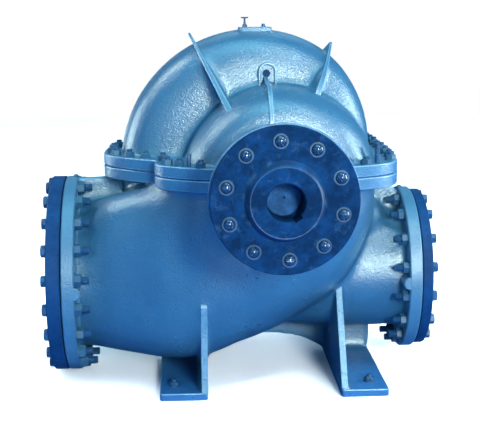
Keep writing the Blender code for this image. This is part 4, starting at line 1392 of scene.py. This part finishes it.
def build_coupling():
    """The pump's half of the coupling: disc, boss, bored hub, keyway and its ten pins."""
    bore = SHAFT_RADIUS + 0.0004
    boss = COUPLING_FACE - BOSS_HEIGHT
    profile = (
        (bore, boss + 0.003), (bore + 0.003, boss), (BOSS_FACE - 0.0040, boss),
        (BOSS_FACE - 0.0035, boss + 0.003), (BOSS_FACE + 0.0010, boss + 0.009),
        (BOSS_RADIUS - 0.0030, COUPLING_FACE - 0.0030),
        (BOSS_RADIUS - 0.0010, COUPLING_FACE), (COUPLING_RADIUS - 0.0022, COUPLING_FACE),
        (COUPLING_RADIUS, COUPLING_FACE + 0.0022), (COUPLING_RADIUS, COUPLING_BACK - 0.003),
        (COUPLING_RADIUS - 0.003, COUPLING_BACK), (HUB_RADIUS + 0.010, COUPLING_BACK),
        (HUB_RADIUS + 0.002, COUPLING_BACK + 0.004), (HUB_RADIUS, COUPLING_BACK + 0.012),
        (HUB_RADIUS, HUB_BACK - 0.003), (HUB_RADIUS - 0.003, HUB_BACK), (bore, HUB_BACK),
    )
    half = rotor_piece("coupling_disc", profile, coupling_iron(),
                       replaced=("coupling_half",))
    shoulder = (
        (BOSS_FACE - 0.0040, boss + 0.0002), (BOSS_FACE - 0.0018, boss), (BOSS_FACE, boss + 0.0018),
        (BOSS_FACE + 0.0035, boss + 0.008), (BOSS_RADIUS - 0.0015, COUPLING_FACE - 0.0065),
        (BOSS_RADIUS, COUPLING_FACE - 0.0040), (BOSS_RADIUS + 0.0022, COUPLING_FACE - 0.0012),
        (BOSS_RADIUS + 0.0030, COUPLING_FACE + 0.0010), (BOSS_FACE - 0.0040, COUPLING_FACE + 0.0010),
    )
    # A brighter iron on the boss's shoulder: a painted highlight.
    rotor_piece("coupling_shoulder", shoulder, boss_shoulder_painted_highlight_iron())
    lip = COUPLING_FACE + 0.030
    rim = ((COUPLING_RADIUS - 0.004, lip), (RIM_RADIUS - 0.001, lip), (RIM_RADIUS, lip + 0.001),
           (RIM_RADIUS, COUPLING_BACK - 0.002), (RIM_RADIUS - 0.001, COUPLING_BACK - 0.001),
           (COUPLING_RADIUS - 0.004, COUPLING_BACK - 0.001))
    rotor_piece("coupling_rim", rim, rim_iron(), angle=30)
    outward = Vector((cos(KEY_ANGLE), 0.0, sin(KEY_ANGLE)))
    sideways = Vector((-sin(KEY_ANGLE), 0.0, cos(KEY_ANGLE)))
    corners = rectangle((0.040, -KEY_WIDTH / 2), (KEY_BOTTOM, KEY_WIDTH / 2))
    rings = [[tuple(Vector((0.0, y, SHAFT_HEIGHT)) + outward * r + sideways * w) for r, w in corners]
             for y in (-1.0, SHAFT_FRONT - 0.001)]
    carve(half, loft(rings))
    for k in range(PIN_COUNT):
        build_pin(k)


def build_pin(k):
    """One coupling pin: a flanged head with a slotted dome, and its nut behind the disc."""
    angle = pi / 2 + PIN_TURN + 2 * pi * k / PIN_COUNT
    x, z = PIN_CIRCLE * cos(angle), SHAFT_HEIGHT + PIN_CIRCLE * sin(angle)
    face = COUPLING_FACE + 0.002
    tag = f"{k + 1:02d}"
    front = COUPLING_FACE - 0.0016
    collar = ((PIN_DOME - 0.001, front), (PIN_RADIUS - 0.001, front), (PIN_RADIUS, front + 0.001),
              (PIN_RADIUS, face + 0.004), (PIN_DOME - 0.001, face + 0.004))
    ring = turned("Y", collar, 40, (x, z), closed=True)
    piece("pin_collar_" + tag, ring, pin_ring(), body="rotor", angle=40)
    dome = [(PIN_DOME * sin(radians(a)), face - PIN_RISE * cos(radians(a)))
            for a in (3, 12, 24, 36, 48, 60, 72, 84)]
    back = COUPLING_BACK + 0.001
    dome += [(PIN_DOME, face), (PIN_DOME, back), (PIN_DOME + 0.002, back), (PIN_DOME + 0.002, back + 0.012),
             (PIN_DOME, back + 0.014)]
    head = piece("pin_dome_" + tag, turned("Y", dome, 40, (x, z)), pin_steel(), body="rotor",
                 angle=40, replaced=("coupling_pin_" + tag,))
    tip = face - PIN_RISE
    half_slot = 0.0011
    slot = block((-0.0130, tip - 0.01, -half_slot), (0.0130, tip + 0.0048, half_slot))
    turn = Matrix.Translation((x, 0.0, z)) @ Matrix.Rotation(radians(PIN_SLOTS[k]), 4, "Y")
    carve(head, placed(slot, turn))


def build_shaft():
    """The shaft with a chamfered end and its centre drilling."""
    front, back = SHAFT_FRONT, SHAFT_BACK
    profile = [(0.0012, front + 0.009), (0.0034, front + 0.007), (0.0036, front + 0.003),
               (0.0058, front + 0.0002), (SHAFT_RADIUS - 0.003, front), (SHAFT_RADIUS, front + 0.003),
               (SHAFT_RADIUS, back - 0.003), (SHAFT_RADIUS - 0.003, back)]
    rotor_piece("turned_shaft", profile, shaft_face(), 96, closed=False, replaced=("shaft",))


def build_shaft_end(name, side):
    """The bearing bracket, cap and cover with their bolts, and the gland's nuts, at one end."""
    start = side * (STUFFING_BOX_END + SEAT_GAP)
    house, end = side * HOUSING_START, side * HOUSING_END
    trough = ((BRACKET_BORE, start), (BRACKET_FLANGE, start), (BRACKET_FLANGE, start + side * 0.024),
              (TROUGH_RADIUS, start + side * 0.030), (TROUGH_RADIUS, house),
              (HOUSING_RADIUS, house + side * 0.020), (HOUSING_RADIUS, end), (HOUSING_BORE, end),
              (HOUSING_BORE, house + side * 0.004), (BRACKET_BORE, house - side * 0.004))
    piece(name + "_bracket_casting", half_turned(trough, -179.85, -0.15, 48), casting_paint(),
          bevel=0.003, replaced=(name + "_bearing_bracket",))
    cap_start = house + side * 0.006
    cap = ((HOUSING_BORE, cap_start), (HOUSING_RADIUS, cap_start), (HOUSING_RADIUS, end), (HOUSING_BORE, end))
    piece(name + "_cap_casting", half_turned(cap, 0.15, 179.85, 48), casting_paint(),
          bevel=0.003, replaced=(name + "_bearing_cap",))
    top = SHAFT_HEIGHT + (HOUSING_RADIUS**2 - CAP_BOLT_X**2) ** 0.5 - 0.004
    bolts = [placed(hexagon(*CAP_BOLT), pointing("+Z", (x, y, top), 0.3 * x))
             for x in (-CAP_BOLT_X, CAP_BOLT_X) for y in (house + side * 0.030, end - side * 0.022)]
    seat = end + side * SEAT_GAP
    cover_face = seat + side * (0.015 if side < 0 else 0.012)
    outward = "-Y" if side < 0 else "+Y"
    for k in range(COVER_BOLTS):
        angle = 2 * pi * (k + 0.5) / COVER_BOLTS
        place = about("Y", COVER_BOLT_CIRCLE, angle, cover_face, SHAFT_CENTRE)
        bolts.append(placed(hexagon(*COVER_BOLT), pointing(outward, place, angle)))
    fasteners(name + "_cap_bolts", merged(bolts))
    build_cover(name, side, seat)
    gland_face = start + side * 0.020
    glands = [placed(nut_and_stud(*GLAND_NUT), pointing(outward, (x, gland_face, SHAFT_HEIGHT), 0.2))
              for x in (-GLAND_STUD_X, GLAND_STUD_X)]
    fasteners(name + "_gland_nuts", merged(glands))


def build_cover(name, side, seat):
    """The cover over a bearing, closed at the far end."""
    bore = SHAFT_RADIUS + 0.0005
    edge = COVER_RADIUS - 0.003
    face = seat + side * 0.015
    if side < 0:
        profile = ((bore, seat), (edge, seat), (COVER_RADIUS, seat + side * 0.002),
                   (COVER_RADIUS, face - side * 0.003), (edge, face), (bore + 0.020, face),
                   (bore + 0.018, face - side * 0.002), (bore, face - side * 0.002))
    else:
        profile = ((edge, seat), (COVER_RADIUS, seat + 0.002), (COVER_RADIUS, seat + 0.010),
                   (edge, seat + 0.012), (0.104, seat + 0.012), (0.100, seat + 0.015), (0.095, 0.728),
                   (0.091, 0.733), (0.086, 0.735), (0.010, 0.735))
    shape = turned("Y", profile, 96, SHAFT_CENTRE, closed=side < 0)
    piece(name + "_cover_turned", shape, plate_paint(), angle=30,
          replaced=(name + "_bearing_cover",))


def build_rings(name, side):
    """The shaft sleeve and the thrower ring of one end."""
    inside = SHAFT_RADIUS + SEAT_GAP
    near, far, end = side * SLEEVE_START, side * SLEEVE_END, side * THROWER_END
    sleeve = ((inside, near), (SLEEVE_RADIUS, near), (SLEEVE_RADIUS, far - side * 0.0015),
              (SLEEVE_RADIUS - 0.0015, far), (inside, far))
    start = far + side * SEAT_GAP
    thrower = ((inside, start), (THROWER_RADIUS - 0.008, start), (THROWER_RADIUS, end - side * 0.006),
               (THROWER_RADIUS, end - side * 0.001), (THROWER_RADIUS - 0.001, end), (inside, end))
    for made, node, profile in (("_sleeve_turned", "_shaft_sleeve", sleeve),
                                ("_thrower_turned", "_thrower_ring", thrower)):
        rotor_piece(name + made, profile, bright_steel(), 96, angle=30,
                    replaced=(name + node,))


def build_vent():
    """The vent plate, its cock with a tee handle, and the priming plug."""
    low, high = VENT_PLATE
    plate = prism("Z", rounded(rectangle(low, high), 0.006), low[2], high[2])
    piece("vent_plate_casting", plate, plate_paint(), bevel=0.0015, replaced=("vent_plate",))
    cock = screwed_plug(0.0085, 0.008, ((0.0062, 0.004), (0.0062, 0.0098), (0.0052, 0.011)), 24)
    plug = screwed_plug(0.0085, 0.004, ((0.0060, 0.002), (0.0060, 0.0100), (0.0050, 0.011)), 20)
    for name, shape, x, node in (("vent_cock_valve", cock, VENT_COCK_X, "vent_cock_body"),
                                 ("priming_plug_turned", plug, PRIMING_PLUG_X, "priming_plug")):
        fasteners(name, placed(shape, pointing("+Z", (x, 0.0, VENT_SEAT))), replaced=(node,))
    foot = VENT_SEAT + 0.0113
    stem = turned("Z", ((0.0040, foot), (0.0040, foot + 0.004), (0.0034, foot + 0.006),
                        (0.0034, VENT_TOP - 0.004), (0.0040, VENT_TOP - 0.001)), 20, (VENT_COCK_X, 0.0))
    bar = [(0.0009, -0.0125), (0.0022, -0.0120), (0.0024, -0.0080), (0.0020, 0.0), (0.0024, 0.0080),
           (0.0022, 0.0120), (0.0009, 0.0125)]
    tee = placed(turned("Z", bar, 16), pointing("+X", (VENT_COCK_X, 0.0, VENT_TOP - 0.00245)))
    fasteners("vent_handle_tee", merged((stem, tee)), body="vent_handle", angle=40,
              replaced=("vent_cock_handle",))


def build_rim_plugs():
    """Hexagon headed plugs in the rims of both nozzle flanges."""
    plug = screwed_plug(0.011, 0.004, ((0.0072, 0.002), (0.0068, 0.0075), (0.006, 0.008)), 16)
    for name, x in RIM_PLUGS_X.items():
        place = (x, 0.0, NOZZLE_HEIGHT + NOZZLES[name]["radius"] + SEAT_GAP)
        fasteners(name + "_rim_plug", placed(plug, pointing("+Z", place)), replaced=(name + "_flange_plug",))


def build_foot_bolts():
    """A holding down stud with its nut near each end of both feet."""
    shapes = []
    turns = random_turns(4, 5)
    for x in FOOT_BOLTS_X:
        for y in (-FOOT_BOLT_Y, FOOT_BOLT_Y):
            nut = nut_and_stud(*FOOT_NUT, under=0.003)
            shapes.append(placed(nut, pointing("+Z", (x, y, FOOT_THICKNESS), turns.pop())))
    fasteners("foot_bolt_nuts", merged(shapes))


# Stage


def camera_matrix():
    yaw, pitch, roll = CAMERA_YAW, CAMERA_PITCH, CAMERA_ROLL
    forward = Vector((sin(yaw) * cos(pitch), cos(yaw) * cos(pitch), sin(pitch)))
    right = Vector((cos(yaw), -sin(yaw), 0.0))
    up = right.cross(forward)
    side = right * cos(roll) + up * sin(roll)
    top = up * cos(roll) - right * sin(roll)
    matrix = Matrix((side, top, -forward)).transposed().to_4x4()
    matrix.translation = CAMERA_PLACE + AXES
    return matrix


def build_camera():
    lens = bpy.data.cameras.new("camera")
    lens.sensor_width = SENSOR
    lens.lens = CAMERA_LENS
    camera = bpy.data.objects.new("camera", lens)
    camera.matrix_world = camera_matrix()
    bpy.context.scene.collection.objects.link(camera)
    bpy.context.scene.camera = camera


def softbox(name, place, size, power, colour):
    """A rectangular light, turned to the middle of the pump."""
    lamp = bpy.data.lights.new(name, "AREA")
    lamp.shape = "RECTANGLE"
    lamp.size, lamp.size_y = size
    lamp.energy = power
    lamp.color = colour
    made = bpy.data.objects.new(name, lamp)
    made.location = AXES + Vector(place)
    made.rotation_euler = (LIGHT_AIM - Vector(place)).to_track_quat("-Z", "Y").to_euler()
    bpy.context.scene.collection.objects.link(made)


def wash_floor(ground):
    """A soft light that reaches only the floor and keeps it pale."""
    wash = bpy.data.lights.new("floor wash", "SUN")
    wash.energy = FLOOR_WASH
    wash.angle = radians(60)
    lamp = bpy.data.objects.new("floor wash", wash)
    lamp.rotation_euler = (radians(12), radians(-8), 0.0)
    bpy.context.scene.collection.objects.link(lamp)
    only_floor = bpy.data.collections.new("floor only")
    only_floor.objects.link(ground)
    lamp.light_linking.receiver_collection = only_floor


def build_world():
    """A white background for the camera, and blue air that lights and reflects."""
    world = bpy.data.worlds.new("studio")
    world.use_nodes = True
    bpy.context.scene.world = world
    tree = world.node_tree
    air = tree.nodes["Background"]
    air.inputs["Color"].default_value = (*AIR, 1.0)
    air.inputs["Strength"].default_value = AIR_STRENGTH
    backdrop = tree.nodes.new("ShaderNodeBackground")
    backdrop.inputs["Color"].default_value = (1.0, 1.0, 1.0, 1.0)
    choice = for_camera(tree, backdrop.outputs[0], air.outputs[0])
    tree.links.new(choice, tree.nodes["World Output"].inputs["Surface"])


def build_stage():
    """Camera, floor, lights and background, with the view transform of a plain print."""
    build_camera()
    ground = object_from("floor", turned("Z", ((9.0, -0.0205), (9.0, -0.0005)), 96))
    ground.data.materials.append(floor_paint())
    for light in SOFTBOXES:
        softbox(*light)
    wash_floor(ground)
    build_world()
    bpy.context.scene.view_settings.view_transform = "Standard"


class StageOperator(bpy.types.Operator):
    """Set up the camera, the floor, the lights and the background"""
    bl_idname = "pump.stage"
    bl_label = "Stage"

    def execute(self, context):
        build_stage()
        return {"FINISHED"}


class LowerCasingOperator(bpy.types.Operator):
    """Cast the lower half of the casing with its feet"""
    bl_idname = "pump.lower_casing"
    bl_label = "Lower casing"

    def execute(self, context):
        build_lower_casing()
        build_foot_bolts()
        return {"FINISHED"}


class UpperCasingOperator(bpy.types.Operator):
    """Cast the upper half of the casing with its ribs and pads"""
    bl_idname = "pump.upper_casing"
    bl_label = "Upper casing"

    def execute(self, context):
        build_upper_casing()
        return {"FINISHED"}


class SplitFlangeOperator(bpy.types.Operator):
    """Make the split flange's rims and fasteners"""
    bl_idname = "pump.split_flange"
    bl_label = "Split flange"

    def execute(self, context):
        build_split_flange()
        return {"FINISHED"}


class NozzlesOperator(bpy.types.Operator):
    """Make both nozzle flanges, their blind flanges, bolts and nuts"""
    bl_idname = "pump.nozzles"
    bl_label = "Nozzle flanges"

    def execute(self, context):
        build_nozzle("suction", sizes().suction_nut, **NOZZLES["suction"])
        build_nozzle("discharge", sizes().discharge_nut, **NOZZLES["discharge"])
        build_rim_plugs()
        return {"FINISHED"}


class CouplingOperator(bpy.types.Operator):
    """Make the coupling half, its pins and the shaft"""
    bl_idname = "pump.coupling"
    bl_label = "Coupling and shaft"

    def execute(self, context):
        build_coupling()
        build_shaft()
        return {"FINISHED"}


class ShaftEndsOperator(bpy.types.Operator):
    """Make glands, bearings and rings at both ends of the casing"""
    bl_idname = "pump.shaft_ends"
    bl_label = "Shaft ends"

    def execute(self, context):
        for name, side in (("drive_end", -1), ("non_drive_end", 1)):
            build_shaft_end(name, side)
            build_rings(name, side)
        return {"FINISHED"}


class VentOperator(bpy.types.Operator):
    """Make the vent plate with its cock and plug"""
    bl_idname = "pump.vent"
    bl_label = "Vent"

    def execute(self, context):
        build_vent()
        return {"FINISHED"}


class CarriedNodesOperator(bpy.types.Operator):
    """Give the solids that stay in view their finishes"""
    bl_idname = "pump.carried_nodes"
    bl_label = "Gaskets and glands"

    def execute(self, context):
        finishes = {
            "suction_side_gasket": gasket_sheet, "discharge_side_gasket": gasket_sheet,
            "suction_flange_gasket": gasket_sheet, "discharge_flange_gasket": gasket_sheet,
            "drive_end_gland_follower": bronze, "non_drive_end_gland_follower": bronze,
            # The tapping plug takes the dark blind paint: painted shade in the tapped hole.
            "casing_tapping_plug": blind_paint,
        }
        for node, material in finishes.items():
            carried = frame["nodes"][node]
            carried.data.materials.clear()
            carried.data.materials.append(material())
        return {"FINISHED"}


class PumpPanel(bpy.types.Panel):
    """Lists the pump's pieces, sizes and colours"""
    bl_idname = "VIEW3D_PT_split_case_pump"
    bl_label = "Split case pump"
    bl_space_type = "VIEW_3D"
    bl_region_type = "UI"
    bl_category = "Pump"

    def draw(self, context):
        for operator in OPERATORS:
            self.layout.operator(operator.bl_idname)
        for group in (context.scene.pump_sizes, context.scene.pump_colours):
            for name in group.__annotations__:
                self.layout.prop(group, name)


OPERATORS = (StageOperator, LowerCasingOperator, UpperCasingOperator, SplitFlangeOperator, NozzlesOperator,
             CouplingOperator, ShaftEndsOperator, VentOperator, CarriedNodesOperator)
CLASSES = (PumpSizes, PumpColours) + OPERATORS + (PumpPanel,)


def register():
    for cls in CLASSES:
        bpy.utils.register_class(cls)
    bpy.types.Scene.pump_sizes = bpy.props.PointerProperty(type=PumpSizes)
    bpy.types.Scene.pump_colours = bpy.props.PointerProperty(type=PumpColours)


def unregister():
    del bpy.types.Scene.pump_colours
    del bpy.types.Scene.pump_sizes
    for cls in reversed(CLASSES):
        bpy.utils.unregister_class(cls)


def main():
    register()
    for operator in OPERATORS:
        family, name = operator.bl_idname.split(".")
        getattr(getattr(bpy.ops, family), name)()


if __name__ == "__main__":
    main()
